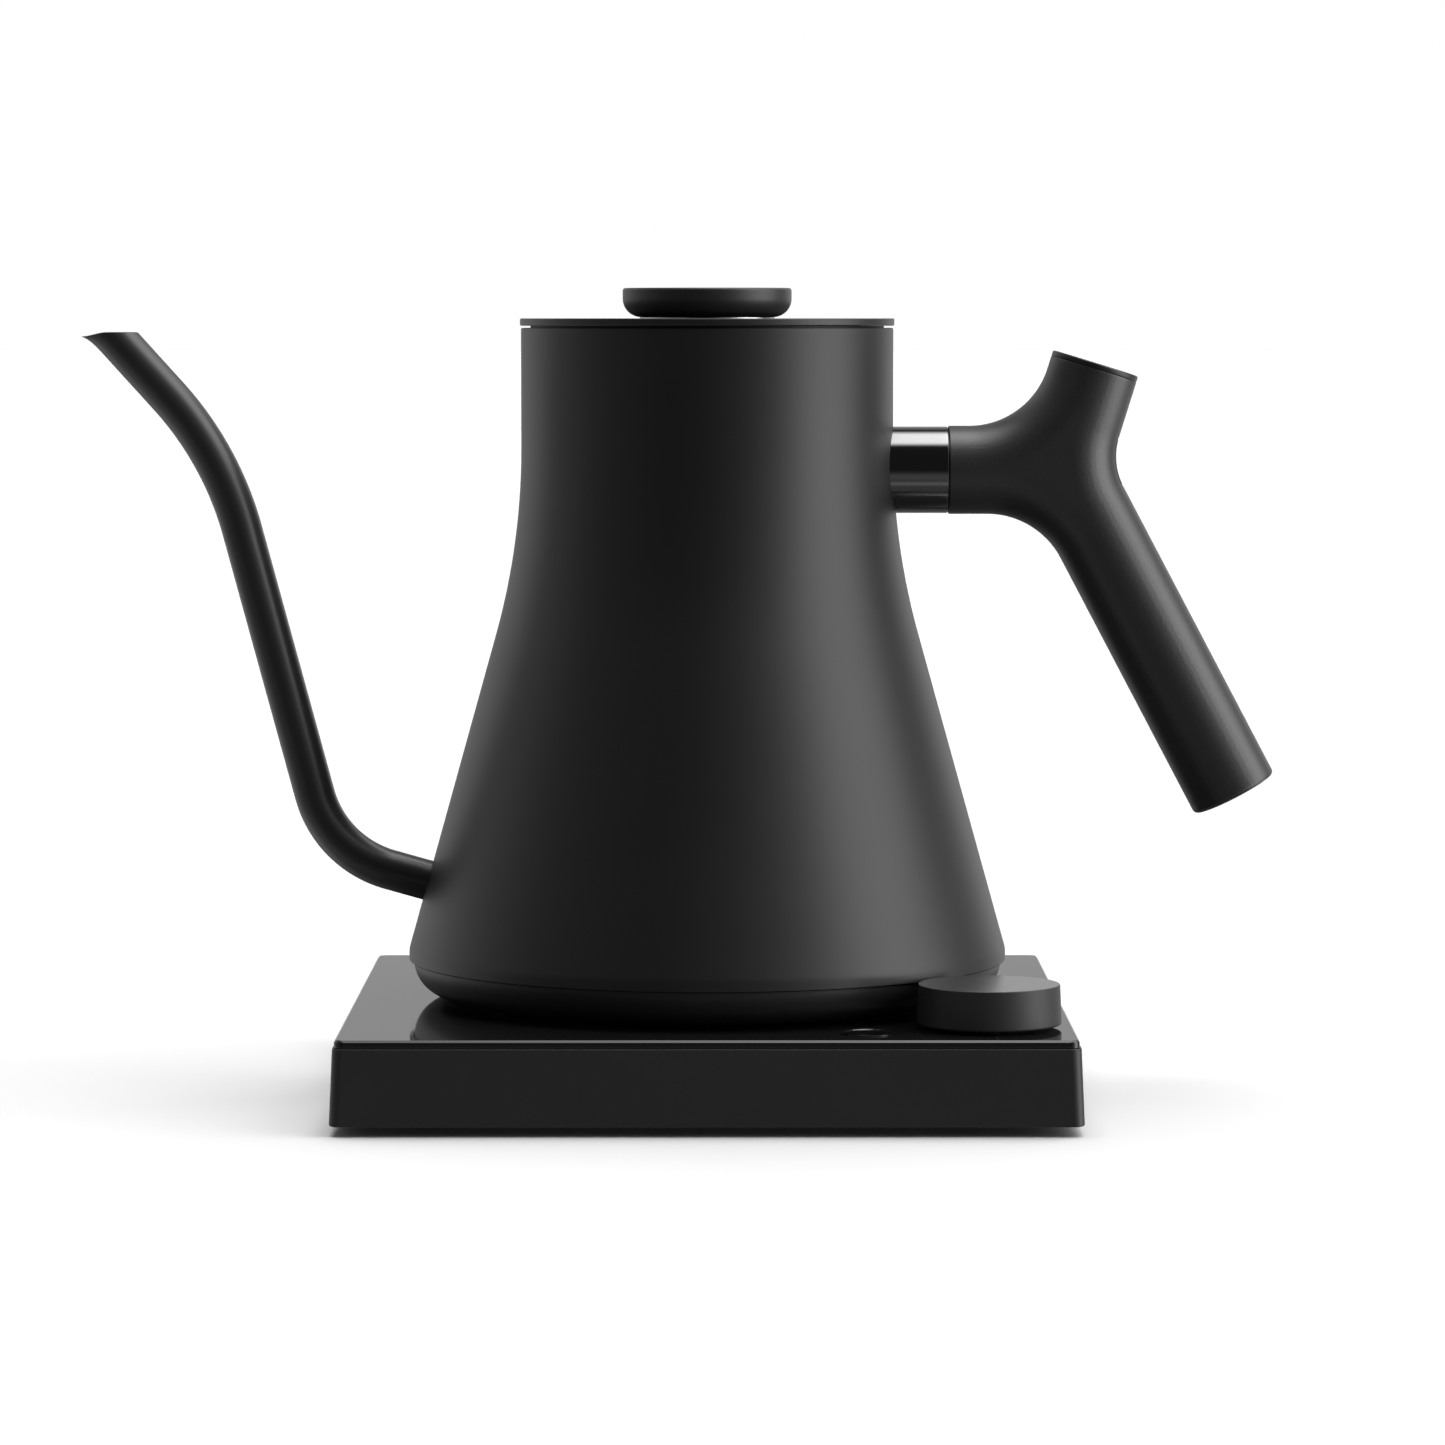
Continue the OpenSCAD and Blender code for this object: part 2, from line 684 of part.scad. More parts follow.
module heat_spreader() {
    color([0.8, 0.8, 0.82]) difference() {
        union() {
            post([0, 0], spreader_r, spreader_z, floor_z);
            for (p = cover_screw_at) post(p, cover_boss_r, cover_inner_z, spreader_z + eps);
        }
        post(probe_at, probe_r + 1.1, spreader_z - eps, floor_z + eps);
        for (p = cover_screw_at) post(p, screw_r + same_body_gap, cover_inner_z - eps, cover_inner_z + cover_hole_deep);
    }
}

module heating_element() {
    color([0.45, 0.42, 0.4]) rotate([0, 0, 90 + (360 - element_sweep_angle) / 2]) {
        rotate_extrude(angle = element_sweep_angle) translate([element_ring_r, spreader_z]) difference() {
            translate([0, -element_r * 0.8]) circle(r = element_r, $fn = 48);
            translate([-2 * element_r, 0]) square([4 * element_r, element_r]);
        }
    }
}

module temperature_probe() {
    color([0.75, 0.75, 0.76]) union() {
        post(probe_at, probe_r, floor_z - probe_tail, floor_top + probe_up);
        translate([probe_at[0], probe_at[1], floor_top + probe_up])
            cylinder(r1 = probe_r, r2 = probe_r - probe_tip, h = probe_tip);
        post(probe_at, probe_r + probe_flange, spreader_z - probe_flange, spreader_z);
    }
}

module probe_seal() {
    color([0.85, 0.85, 0.83]) translate([probe_at[0], probe_at[1], 0]) union() {
        ring(probe_r + same_body_gap, probe_r + 1.1 - same_body_gap, spreader_z, floor_top + 0.6);
        ring(probe_r + same_body_gap, probe_r + 2.6, floor_top, floor_top + 1.2);
    }
}

module thermal_cutout() {
    color([0.9, 0.88, 0.8]) for (p = cutout_at) union() {
        post(p, cutout_r, spreader_z - cutout_t, spreader_z);
        post(p, cutout_r - cutout_step, spreader_z - cutout_drop, spreader_z - cutout_t + eps);
    }
}

module kettle_connector() {
    color([0.05, 0.05, 0.05]) difference() {
        union() {
            post([0, 0], connector_r, cover_plate_z, connector_top);
            post([0, 0], connector_r + connector_flange, cover_inner_z, cover_inner_z + cover_t);
        }
        post([0, 0], hub_neck_r - 0.2, cover_plate_z - eps, ring_z + ring_h + 0.4);
        post([0, 0], hub_r + 0.5, cover_plate_z, connector_roof_z);
    }
}

module connector_pins() {
    color([0.85, 0.65, 0.3]) {
        post([0, 0], pin_r, pin_z, connector_roof_z);
        ring(pin_ring[0], pin_ring[1], pin_z, connector_roof_z);
    }
}

module kettle_bottom_cover() {
    round_c = [belly_r - cover_h, seam_z];
    inner_round = cover_h - cover_t;
    inner_angle = asin((seam_z - cover_inner_z) / inner_round);
    land_r = round_c[0] - 6;
    color([0.05, 0.05, 0.055]) difference() {
        rotate_extrude() polygon(concat(
            [[connector_r + 0.1, cover_plate_z], [land_r, cover_plate_z], [land_r + 0.8, stand_z]],
            arc(round_c, cover_h, 270, 360, 12),
            arc(round_c, inner_round, 0, -inner_angle, 6),
            [[connector_r + 0.1, cover_inner_z]]));
        for (p = cover_screw_at) {
            post(p, screw_head_r + 0.2, cover_plate_z - eps, cover_plate_z + screw_head_h);
            post(p, screw_r + 0.25, cover_plate_z, cover_inner_z + eps);
        }
    }
}

module bottom_cover_screws() {
    color([0.6, 0.6, 0.62]) for (p = cover_screw_at)
        screw(p, cover_plate_z, screw_head_r, screw_head_h, screw_r, cover_screw_len);
}

// ---- Handle ----

// Along the arm, from the kettle's axis outwards
module along_arm() { translate([0, 0, arm_z]) rotate([0, 90, 0]) children(); }
// Up the stub, from the crossing of the axes
module along_stub() { translate([handle_x, 0, cross_z]) rotate([0, stub_tilt, 0]) children(); }
// Down the grip, from the crossing of the axes
module along_grip() { translate([handle_x, 0, cross_z]) rotate([0, 180 - grip_tilt, 0]) children(); }
// The bend that joins stub and grip, swept between two angles from the stub's end
module handle_bend(from, to) {
    centre = [handle_x + bend_offset * cos(bend_axis_angle), 0, cross_z + bend_offset * sin(bend_axis_angle)];
    translate(centre) rotate([90, 0, 0]) rotate([0, 0, 180 - stub_tilt + from])
        rotate_extrude(angle = to - from) translate([handle_bend_r, 0]) children();
}

module handle_collar() {
    color([0.08, 0.08, 0.085]) difference() {
        along_arm() difference() {
            union() {
                cylinder(r = collar_r, h = collar_end_x - 0.5);
                translate([0, 0, collar_end_x - 0.5]) cylinder(r1 = collar_r, r2 = collar_r - 0.5, h = 0.5);
            }
            translate([0, 0, -eps]) cylinder(r = collar_r - collar_wall, h = collar_end_x + 2 * eps);
        }
        kettle_envelope(weld_gap);
    }
}

module handle_bracket() {
    color([0.5, 0.5, 0.52]) difference() {
        along_arm() union() {
            cylinder(r = bracket_r, h = arm_x);
            cylinder(r = rod_r, h = handle_x + 2);
        }
        kettle_envelope(weld_gap);
        along_stub() translate([0, 0, -20]) cylinder(r = handle_screw_r + same_body_gap, h = 40);
    }
}

// Half heights of the arm above and below its axis, at a distance past the crossing:
// the arm swells along one arc up into the stub and along another down into the grip
function arm_rise(u) = u < stub_fillet_x ? arm_r
    : stub_fillet_z - sqrt(pow(stub_fillet_r, 2) - pow(min(u, stub_fillet_end) - stub_fillet_x, 2));
function arm_fall(u) = u < grip_fillet_x ? arm_r
    : grip_fillet_z - sqrt(pow(grip_fillet_r, 2) - pow(min(u, grip_fillet_end) - grip_fillet_x, 2));

// One upright outline of the arm, round at its top and its bottom
function arm_outline(u) = [for (i = [0:shell_fn + 1])
    let (lower = i > shell_fn / 2, a = 180 * (lower ? i - 1 : i) / (shell_fn / 2),
        lift = lower ? arm_r - arm_fall(u) : arm_rise(u) - arm_r)
    [handle_x + u, arm_r * cos(a), arm_z + lift + arm_r * sin(a)]];

function bend_point(a) = [
    handle_x + bend_offset * cos(bend_axis_angle) + handle_bend_r * cos(180 - stub_tilt + a), 0,
    cross_z + bend_offset * sin(bend_axis_angle) + handle_bend_r * sin(180 - stub_tilt + a)];

module handle_limb() {
    stub_dir = [sin(stub_tilt), 0, cos(stub_tilt)];
    grip_dir = [sin(grip_tilt), 0, -cos(grip_tilt)];
    crossing = [handle_x, 0, cross_z];
    end_round = 1;
    loft(concat(
        [circle_outline(crossing + grip_len * grip_dir, -grip_tilt, grip_end_r - end_round, shell_fn),
         circle_outline(crossing + (grip_len - end_round) * grip_dir, -grip_tilt, grip_end_r, shell_fn)],
        [for (i = [bend_steps:-1:0]) let (a = handle_turn * i / bend_steps)
            circle_outline(bend_point(a), stub_tilt - a, grip_r, shell_fn)],
        [circle_outline(crossing + (stub_len - cap_t) * stub_dir, stub_tilt, grip_r, shell_fn)]));
}

module handle_arm() {
    first = min(stub_fillet_x, grip_fillet_x);
    last = (arm_rise(stub_fillet_end) - arm_r) * tan(stub_tilt);
    loft(concat([arm_outline(arm_x - handle_x)],
        [for (i = [0:arm_steps]) arm_outline(first + (last - first) * i / arm_steps)]));
}

module handle_shell() {
    color([0.07, 0.07, 0.072]) difference() {
        union() {
            handle_arm();
            handle_limb();
        }
        along_arm() translate([0, 0, arm_x - eps])
            cylinder(r = rod_r + 0.1, h = handle_x + 2.1 - arm_x + eps);
        along_stub() translate([0, 0, stub_floor]) cylinder(r = stub_cavity_r, h = stub_len);
        along_stub() cylinder(r = handle_screw_r + 0.3, h = stub_floor + eps);
        along_grip() cylinder(r = weight_r + 0.1, h = weight_to);
        handle_bend(pad_margin - 0.3, handle_turn - pad_margin + 0.3) pad_section(same_body_gap);
    }
}

// Section of the thumb pad, on the hollow side of the bend
module pad_section(grow) {
    intersection() {
        difference() {
            circle(r = grip_r + 2 * grow, $fn = 64);
            circle(r = grip_r - pad_t - grow, $fn = 64);
        }
        translate([-grip_r - 1, -pad_half_w - grow]) square([grip_r, 2 * (pad_half_w + grow)]);
    }
}

module thumb_pad() {
    color([0.1, 0.1, 0.1]) handle_bend(pad_margin, handle_turn - pad_margin) pad_section(0);
}

module handle_cap() {
    edge = 0.4;
    color([0.08, 0.08, 0.082]) along_stub() rotate_extrude() polygon([
        [0, stub_len - cap_t - 3], [stub_cavity_r - 0.15, stub_len - cap_t - 3],
        [stub_cavity_r - 0.15, stub_len - cap_t], [grip_r - 0.2, stub_len - cap_t],
        [grip_r, stub_len - cap_t + 0.2], [grip_r, stub_len - edge], [grip_r - edge, stub_len], [0, stub_len]]);
}

module handle_screw() {
    color([0.6, 0.6, 0.62]) along_stub() difference() {
        union() {
            translate([0, 0, stub_floor]) cylinder(r = 3.8, h = 3);
            translate([0, 0, -5]) cylinder(r = handle_screw_r, h = stub_floor + 6);
        }
        translate([0, 0, stub_floor + 1.4]) cylinder(r = 1.7, h = 3, $fn = 6);
    }
}

module handle_counterweight() {
    color([0.4, 0.4, 0.42]) along_grip() translate([0, 0, weight_from])
        cylinder(r = weight_r, h = weight_to - weight_from);
}

// ---- Lid ----

module lid_plate() {
    edge = 0.3;
    color([0.06, 0.06, 0.062]) rotate_extrude() polygon([
        [lid_screw_r + 0.2, lid_z], [lid_r - edge, lid_z], [lid_r, lid_z + edge],
        [lid_r, lid_top - edge], [lid_r - edge, lid_top], [lid_screw_r + 0.2, lid_top]]);
}

module lid_cup() {
    low = lid_z - lid_cup_h;
    boss = 6;
    color([0.1, 0.1, 0.1]) rotate_extrude() polygon([
        [lid_screw_r + 0.2, low], [cup_r - 1, low], [cup_r, low + 1],
        [cup_r, gasket_z], [groove_r, gasket_z], [groove_r, gasket_z + gasket_h], [cup_r, gasket_z + gasket_h],
        [cup_r, lid_z], [cup_r - cup_wall, lid_z], [cup_r - cup_wall, low + cup_floor_t],
        [boss, low + cup_floor_t], [boss, lid_z], [lid_screw_r + 0.2, lid_z]]);
}

module lid_gasket() {
    color([0.75, 0.75, 0.73]) rotate_extrude() polygon([
        [groove_r + same_body_gap, gasket_z], [cup_r, gasket_z], [gasket_r, gasket_z + 1],
        [cup_r + 0.3, gasket_z + 2], [gasket_r, gasket_z + 3], [cup_r, gasket_z + gasket_h],
        [groove_r + same_body_gap, gasket_z + gasket_h]]);
}

module lid_washer() {
    color([0.7, 0.7, 0.7]) ring(lid_screw_r + 0.2, washer_r, lid_top, knob_z);
}

module lid_knob() {
    top = knob_z + knob_h;
    color([0.07, 0.07, 0.072]) difference() {
        rotate_extrude() polygon(concat(
            [[0, knob_z]],
            arc([knob_r - knob_round, knob_z + knob_round], knob_round, 270, 360, 10),
            arc([knob_r - knob_edge, top - knob_edge], knob_edge, 0, 90, 4),
            [[0, top]]));
        post([0, 0], lid_screw_r + same_body_gap, knob_z - eps, knob_z + lid_screw_up);
    }
}

module lid_screw() {
    low = lid_z - lid_cup_h;
    color([0.6, 0.6, 0.62]) screw([0, 0], low - 2, 4, 2, lid_screw_r, knob_z + lid_screw_up - low - 0.2);
}

// ---- Dial and button ----

module dial_knob() {
    low = glass_top + dial_gap;
    edge = 0.6;
    color([0.08, 0.08, 0.085]) difference() {
        translate([dial_x, -dial_y, 0]) rotate_extrude() polygon([
            [0, low], [dial_r - edge, low], [dial_r, low + edge],
            [dial_r - dial_taper, low + dial_h - 0.4], [dial_r - dial_taper - 0.4, low + dial_h], [0, low + dial_h]]);
        post([dial_x, -dial_y], shaft_r + same_body_gap, low - eps, low + 6);
    }
}

module dial_shaft() {
    color([0.75, 0.75, 0.75]) post([dial_x, -dial_y], shaft_r, board_top + 1.5, glass_top + dial_gap + 6);
}

module power_button() {
    dish_r = 40;
    dish_depth = 0.35;
    dish_angle = acos((dish_r - dish_depth) / dish_r);
    stop_r = button_r + 1.1;
    stop_top = roof_z - moving_gap - 0.2;
    stop_low = stop_top - 1.2;
    stem_r = 2;
    stem_z = board_top + 3.6 + moving_gap + button_travel;
    color([0.03, 0.03, 0.032]) translate([button_x, -button_y, 0]) rotate_extrude() polygon(concat(
        [[0, stem_z], [stem_r, stem_z], [stem_r, stop_low], [stop_r, stop_low], [stop_r, stop_top],
         [button_r, stop_top], [button_r, glass_top - 0.2], [button_r - 0.2, glass_top]],
        arc([0, glass_top + dish_r - dish_depth], dish_r, 270 + dish_angle, 270, 5)));
}

base_housing();
base_glass();
base_bottom_cover();
rubber_feet();
base_screws();
socket_housing();
socket_contacts();
control_board();
display_panel();
rotary_encoder();
button_switch();
buzzer();
power_board();
power_relay();
supply_capacitor();
cord_gland();
swivel_ring();
kettle_body();
spout();
floor_plate();
heat_spreader();
heating_element();
temperature_probe();
probe_seal();
thermal_cutout();
kettle_connector();
connector_pins();
kettle_bottom_cover();
bottom_cover_screws();
handle_collar();
handle_bracket();
handle_shell();
handle_cap();
thumb_pad();
handle_screw();
handle_counterweight();
lid_plate();
lid_cup();
lid_gasket();
lid_washer();
lid_knob();
lid_screw();
dial_knob();
dial_shaft();
power_button();
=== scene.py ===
import math

import bmesh
import bpy
import numpy as np
from mathutils import Matrix, Vector


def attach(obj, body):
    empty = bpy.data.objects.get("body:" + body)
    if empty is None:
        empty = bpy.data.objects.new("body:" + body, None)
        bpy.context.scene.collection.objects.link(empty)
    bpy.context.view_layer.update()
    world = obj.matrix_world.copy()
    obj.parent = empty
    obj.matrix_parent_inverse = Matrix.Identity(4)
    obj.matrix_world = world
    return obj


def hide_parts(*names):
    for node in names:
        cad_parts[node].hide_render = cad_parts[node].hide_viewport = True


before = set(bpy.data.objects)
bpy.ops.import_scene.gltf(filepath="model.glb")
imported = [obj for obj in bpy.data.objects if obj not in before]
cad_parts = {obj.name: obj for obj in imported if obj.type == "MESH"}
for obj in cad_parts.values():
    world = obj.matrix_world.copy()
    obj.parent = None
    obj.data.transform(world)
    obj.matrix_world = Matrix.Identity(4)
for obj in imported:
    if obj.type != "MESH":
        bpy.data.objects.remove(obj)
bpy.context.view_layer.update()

MM = 0.001

# The square base, in millimetres. Heights are above the table
base_w = 175.1
base_draft = 0.75
base_lift = 2.7
base_wall = 2.2
corner_r = 2.5
inner_corner_r = 1.0
housing_top = 21.0
housing_foot = 2.35
housing_face = 20.4
glass_face = 22.42
dial_at = (66.4, -62.2)
button_at = (37.7, -73.1)

# The kettle: a rounded cover from stand_z to seam_z, a cone, a long bend and a straight neck
stand_z = 23.3
seam_z = 31.8
rim_z = 186.6
belly_r = 73.3
neck_r = 45.5
body_wall = 0.8
cone_angle = math.radians(15.57)
blend_r = 171.0
foot_blend_r = 20.0
foot_edge_r = 5.0
spout_r = 4.95
spout_wall = 0.8
arm_z = rim_z - 34.7
handle_x = 87.17
lid_z = rim_z + 0.5
lid_top = lid_z + 1.8
knob_z = lid_top + 0.3

# The cone's line starts where an arc that is upright at the seam has leant over to its angle
foot_top_z = seam_z + foot_blend_r * math.sin(cone_angle)
foot_top_r = belly_r - foot_blend_r * (1 - math.cos(cone_angle))
cone_top_r = neck_r + blend_r * (1 - math.cos(cone_angle))
cone_top_z = foot_top_z + (foot_top_r - cone_top_r) / math.tan(cone_angle)
blend_top_z = cone_top_z + blend_r * math.sin(cone_angle)


# ---- Shapes ----


def wall_radius(z):
    """Radius of the kettle's outside at a height: neck, bend, cone and a small edge at the foot."""
    if z >= blend_top_z:
        return neck_r
    if z >= cone_top_z:
        return neck_r + blend_r - math.sqrt(blend_r**2 - (blend_top_z - z) ** 2)
    reach = foot_edge_r * math.tan(cone_angle / 2)
    low = foot_top_z - (belly_r - foot_top_r) / math.tan(cone_angle) - reach
    if z >= low + foot_edge_r * math.sin(cone_angle):
        return foot_top_r - (z - foot_top_z) * math.tan(cone_angle)
    if z <= low:
        return belly_r
    return belly_r - foot_edge_r + math.sqrt(foot_edge_r**2 - (z - low) ** 2)


def soften(corners, steps=6):
    """An outline with rounded corners. Each corner is (across, up, radius)."""
    outline = []
    count = len(corners)
    for i, (x, y, r) in enumerate(corners):
        here = Vector((x, y))
        if r == 0:
            outline.append((x, y))
            continue
        back = (Vector(corners[i - 1][:2]) - here).normalized()
        ahead = (Vector(corners[(i + 1) % count][:2]) - here).normalized()
        half = back.angle(ahead) / 2
        centre = here + (back + ahead).normalized() * (r / math.sin(half))
        start = here + back * (r / math.tan(half)) - centre
        end = here + ahead * (r / math.tan(half)) - centre
        first = math.atan2(start.y, start.x)
        sweep = math.atan2(start.x * end.y - start.y * end.x, start.dot(end))
        for k in range(steps + 1):
            a = first + sweep * k / steps
            outline.append((centre.x + r * math.cos(a), centre.y + r * math.sin(a)))
    return outline


def strip(low, high):
    """Faces between two rows of points; a row of one point is a pole."""
    n = max(len(low), len(high))
    if n == 1:
        return []
    faces = []
    for i in range(n):
        j = (i + 1) % n
        if len(low) == 1:
            faces.append((low[0], high[j], high[i]))
        elif len(high) == 1:
            faces.append((low[i], low[j], high[0]))
        else:
            faces.append((low[i], low[j], high[j], high[i]))
    return faces


def loft(rings, closed=False):
    """Points and faces through rows of points, each a list or one pole point."""
    points = []
    rows = []
    for ring in rings:
        rows.append(list(range(len(points), len(points) + len(ring))))
        points += ring
    faces = []
    for low, high in zip(rows, rows[1:] + (rows[:1] if closed else [])):
        faces += strip(low, high)
    if not closed:
        for row in (rows[0], rows[-1]):
            if len(row) > 1:
                faces.append(tuple(row))
    return points, faces


def circle(r, z, sides):
    """A level ring of points about the upright axis, or one pole point."""
    if r < 1e-6:
        return [Vector((0, 0, z))]
    turn = 2 * math.pi / sides
    return [Vector((r * math.cos(turn * i), r * math.sin(turn * i), z)) for i in range(sides)]


def lathe(outline, sides=192, closed=False, at=(0, 0)):
    """An outline of (radius, height) pairs turned about an upright axis."""
    shift = Vector((at[0], at[1], 0))
    return loft([[p + shift for p in circle(r, z, sides)] for r, z in outline], closed)


def rod(r, low, high, sides=64, at=(0, 0)):
    """A plain upright bar, to drill with."""
    return lathe([(0, low), (r, low), (r, high), (0, high)], sides, at=at)


def square_ring(width, r, z):
    """A level square with round corners."""
    steps = 16
    c = width / 2 - r
    ring = []
    for k, (sx, sy) in enumerate([(1, 1), (-1, 1), (-1, -1), (1, -1)]):
        for i in range(steps + 1):
            a = math.radians(90 * (k + i / steps))
            ring.append(Vector((sx * c + r * math.cos(a), sy * c + r * math.sin(a), z)))
    return ring


def placed(shape, matrix):
    """A shape moved and turned."""
    return [matrix @ Vector(p) for p in shape[0]], shape[1]


def tidy_mesh(mesh):
    """Joins points that meet and turns all faces outwards."""
    bm = bmesh.new()
    bm.from_mesh(mesh)
    bmesh.ops.remove_doubles(bm, verts=bm.verts, dist=2e-7)
    bmesh.ops.recalc_face_normals(bm, faces=bm.faces)
    bm.to_mesh(mesh)
    bm.free()


def make_piece(name, shape):
    """A mesh object from points in millimetres and faces."""
    mesh = bpy.data.meshes.new(name)
    mesh.from_pydata([Vector(p) * MM for p in shape[0]], [], shape[1])
    tidy_mesh(mesh)
    piece = bpy.data.objects.new(name, mesh)
    bpy.context.scene.collection.objects.link(piece)
    return piece


def settle(piece):
    """Turns a piece's modifiers into plain mesh."""
    bpy.context.view_layer.update()
    depsgraph = bpy.context.evaluated_depsgraph_get()
    mesh = bpy.data.meshes.new_from_object(piece.evaluated_get(depsgraph))
    piece.modifiers.clear()
    piece.data = mesh
    mesh.name = piece.name


def cut(piece, *shapes):
    """Takes other closed shapes away from a piece."""
    cutters = [make_piece("cutter", s) for s in shapes]
    for cutter in cutters:
        modifier = piece.modifiers.new("cut", "BOOLEAN")
        modifier.operation = "DIFFERENCE"
        modifier.solver = "EXACT"
        modifier.object = cutter
    settle(piece)
    for cutter in cutters:
        bpy.data.objects.remove(cutter)


def finish_piece(piece, look, body, nodes, slot=None, sharp=32):
    """Shades a piece and gives it its look, its body and the nodes it stands for; the slot is not used."""
    slot = slot or look
    mesh = piece.data
    mesh.materials.clear()
    mesh.materials.append(looks[look])
    mesh.shade_smooth()
    mesh.set_sharp_from_angle(angle=math.radians(sharp))
    modifier = piece.modifiers.new("even shading", "WEIGHTED_NORMAL")
    modifier.keep_sharp = True
    settle(piece)
    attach(piece, body)
    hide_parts(*nodes)


def add_piece(name, shape, *finish, **options):
    """Makes a piece and finishes it at once."""
    piece = make_piece(name, shape)
    finish_piece(piece, *finish, **options)
    return piece


# ---- Boards of nodes ----


class Shade:
    """A value that varies over a surface, with arithmetic."""

    def __init__(self, board, socket):
        self.board = board
        self.socket = socket

    def math(self, operation, *others, swap=False):
        """One Math node with this value and the others as its inputs."""
        values = [self, *others]
        if swap:
            values.reverse()
        return self.board.node("Math", {"operation": operation}, dict(enumerate(values)))

    def __add__(self, other):
        return self.math("ADD", other)

    __radd__ = __add__

    def __mul__(self, other):
        return self.math("MULTIPLY", other)

    __rmul__ = __mul__

    def __sub__(self, other):
        return self.math("SUBTRACT", other)

    def __rsub__(self, other):
        return self.math("SUBTRACT", other, swap=True)

    def __pow__(self, other):
        return self.math("POWER", other)

    def ramp(self, low, high):
        """0 below low, 1 above high, smooth in between."""
        settings = {"interpolation_type": "SMOOTHSTEP"}
        values = {"Value": self, "From Min": low, "From Max": high}
        return self.board.node("MapRange", settings, values)


class Board:
    """The node board of one material, or of the world."""

    prefix = "ShaderNode"

    def __init__(self, tree):
        self.tree = tree
        tree.nodes.clear()

    def node(self, kind, settings=None, values=None, output=0):
        """Adds a node, sets it up, then fills or links its inputs, and gives one output.

        A kind without Node in it is of the board's own family. A list links several to one input.
        """
        node = self.tree.nodes.new(kind if "Node" in kind else self.prefix + kind)
        for key, value in (settings or {}).items():
            setattr(node, key, value)
        for key, value in (values or {}).items():
            for part in value if isinstance(value, list) else [value]:
                if isinstance(part, Shade):
                    self.tree.links.new(part.socket, node.inputs[key])
                else:
                    node.inputs[key].default_value = part
        return Shade(self, node.outputs[output]) if len(node.outputs) else None

    def place(self):
        """Where a point is, in the object's own coordinates."""
        return self.node("TexCoord", output="Object")

    def noise(self, where, scale, detail=3.0):
        """Soft noise, with so many blobs in a metre."""
        values = {"Vector": where, "Scale": scale, "Detail": detail, "Roughness": 0.55}
        return self.node("TexNoise", None, values)

    def parts(self, vector):
        """The X, Y and Z of a vector."""
        split = self.node("SeparateXYZ", None, {0: vector})
        return [Shade(self, s) for s in split.socket.node.outputs]

    def mix(self, amount, first, second):
        """A blend of two colours."""
        values = {"Factor": amount, 6: first, 7: second}
        return self.node("Mix", {"data_type": "RGBA"}, values, output=2)

    def bump(self, height, depth):
        """Relief of a depth in millimetres."""
        return self.node("Bump", None, {"Height": height, "Distance": depth * MM, "Strength": 1.0})


class Pattern(Board):
    """The node board of a pattern that repeats one item, with its inputs by name."""

    prefix = "GeometryNode"

    def __init__(self, name, inputs):
        super().__init__(bpy.data.node_groups.new(name, "GeometryNodeTree"))
        self.inputs = {}
        for label, kind in inputs.items():
            socket = self.tree.interface.new_socket(label, in_out="INPUT", socket_type="NodeSocket" + kind)
            self.inputs[label] = socket.identifier
        self.tree.interface.new_socket("Pieces", in_out="OUTPUT", socket_type="NodeSocketGeometry")

    def given(self, label):
        """One of the pattern's inputs."""
        return self.node("NodeGroupInput", output=label)

    def close(self, spots):
        """Puts the item on every spot, each at its own turn, as real mesh with its material."""
        item = self.node("ObjectInfo", None, {"Object": self.given("Item")}, output="Geometry")
        limits = {"Min": (0, 0, 0), "Max": (0, 0, 2 * math.pi), "Seed": self.given("Seed")}
        turn = self.node("FunctionNodeRandomValue", {"data_type": "FLOAT_VECTOR"}, limits)
        values = {"Points": spots, "Instance": item, "Rotation": turn}
        copies = self.node("InstanceOnPoints", None, values)
        real = self.node("RealizeInstances", None, {0: copies})
        painted = self.node("SetMaterial", None, {"Geometry": real, "Material": self.given("Material")})
        self.node("NodeGroupOutput", None, {0: painted})

    def grow(self, name, shape, look, values):
        """Copies of a shape laid out by the pattern, as one plain mesh object."""
        item = make_piece("item", shape)
        piece = make_piece(name, ([], []))
        modifier = piece.modifiers.new("pattern", "NODES")
        modifier.node_group = self.tree
        for label, value in {"Item": item, "Material": looks[look], **values}.items():
            modifier[self.inputs[label]] = value
        settle(piece)
        bpy.data.objects.remove(item)
        return piece


def make_grid_pattern():
    """Two rows of two, and one in the middle if asked for."""
    inputs = {"Item": "Object", "Width": "Float", "Depth": "Float", "Middle": "Bool", "Seed": "Int"}
    pattern = Pattern("four in a grid", {**inputs, "Material": "Material"})
    sizes = {"Size X": pattern.given("Width"), "Size Y": pattern.given("Depth")}
    grid = pattern.node("MeshGrid", None, {**sizes, "Vertices X": 2, "Vertices Y": 2})
    one = pattern.node("MeshLine", None, {"Count": 1})
    choice = {"Switch": pattern.given("Middle"), "True": one}
    middle = pattern.node("Switch", {"input_type": "GEOMETRY"}, choice)
    pattern.close(pattern.node("JoinGeometry", None, {0: [grid, middle]}))
    return pattern


def make_ring_pattern():
    """Evenly spaced round the upright axis."""
    inputs = {"Item": "Object", "Count": "Int", "Radius": "Float", "Start": "Float", "Seed": "Int"}
    pattern = Pattern("round in a ring", {**inputs, "Material": "Material"})
    values = {"Vertices": pattern.given("Count"), "Radius": pattern.given("Radius")}
    ring = pattern.node("MeshCircle", None, values)
    angle = pattern.node("ShaderNodeCombineXYZ", None, {"Z": pattern.given("Start")})
    pattern.close(pattern.node("Transform", None, {"Geometry": ring, "Rotation": angle}))
    return pattern


# ---- Materials ----


def tone(value):
    """A colour from one grey level, or from its three parts."""
    parts = value if isinstance(value, tuple) else (value, value, value)
    return (*parts, 1.0)


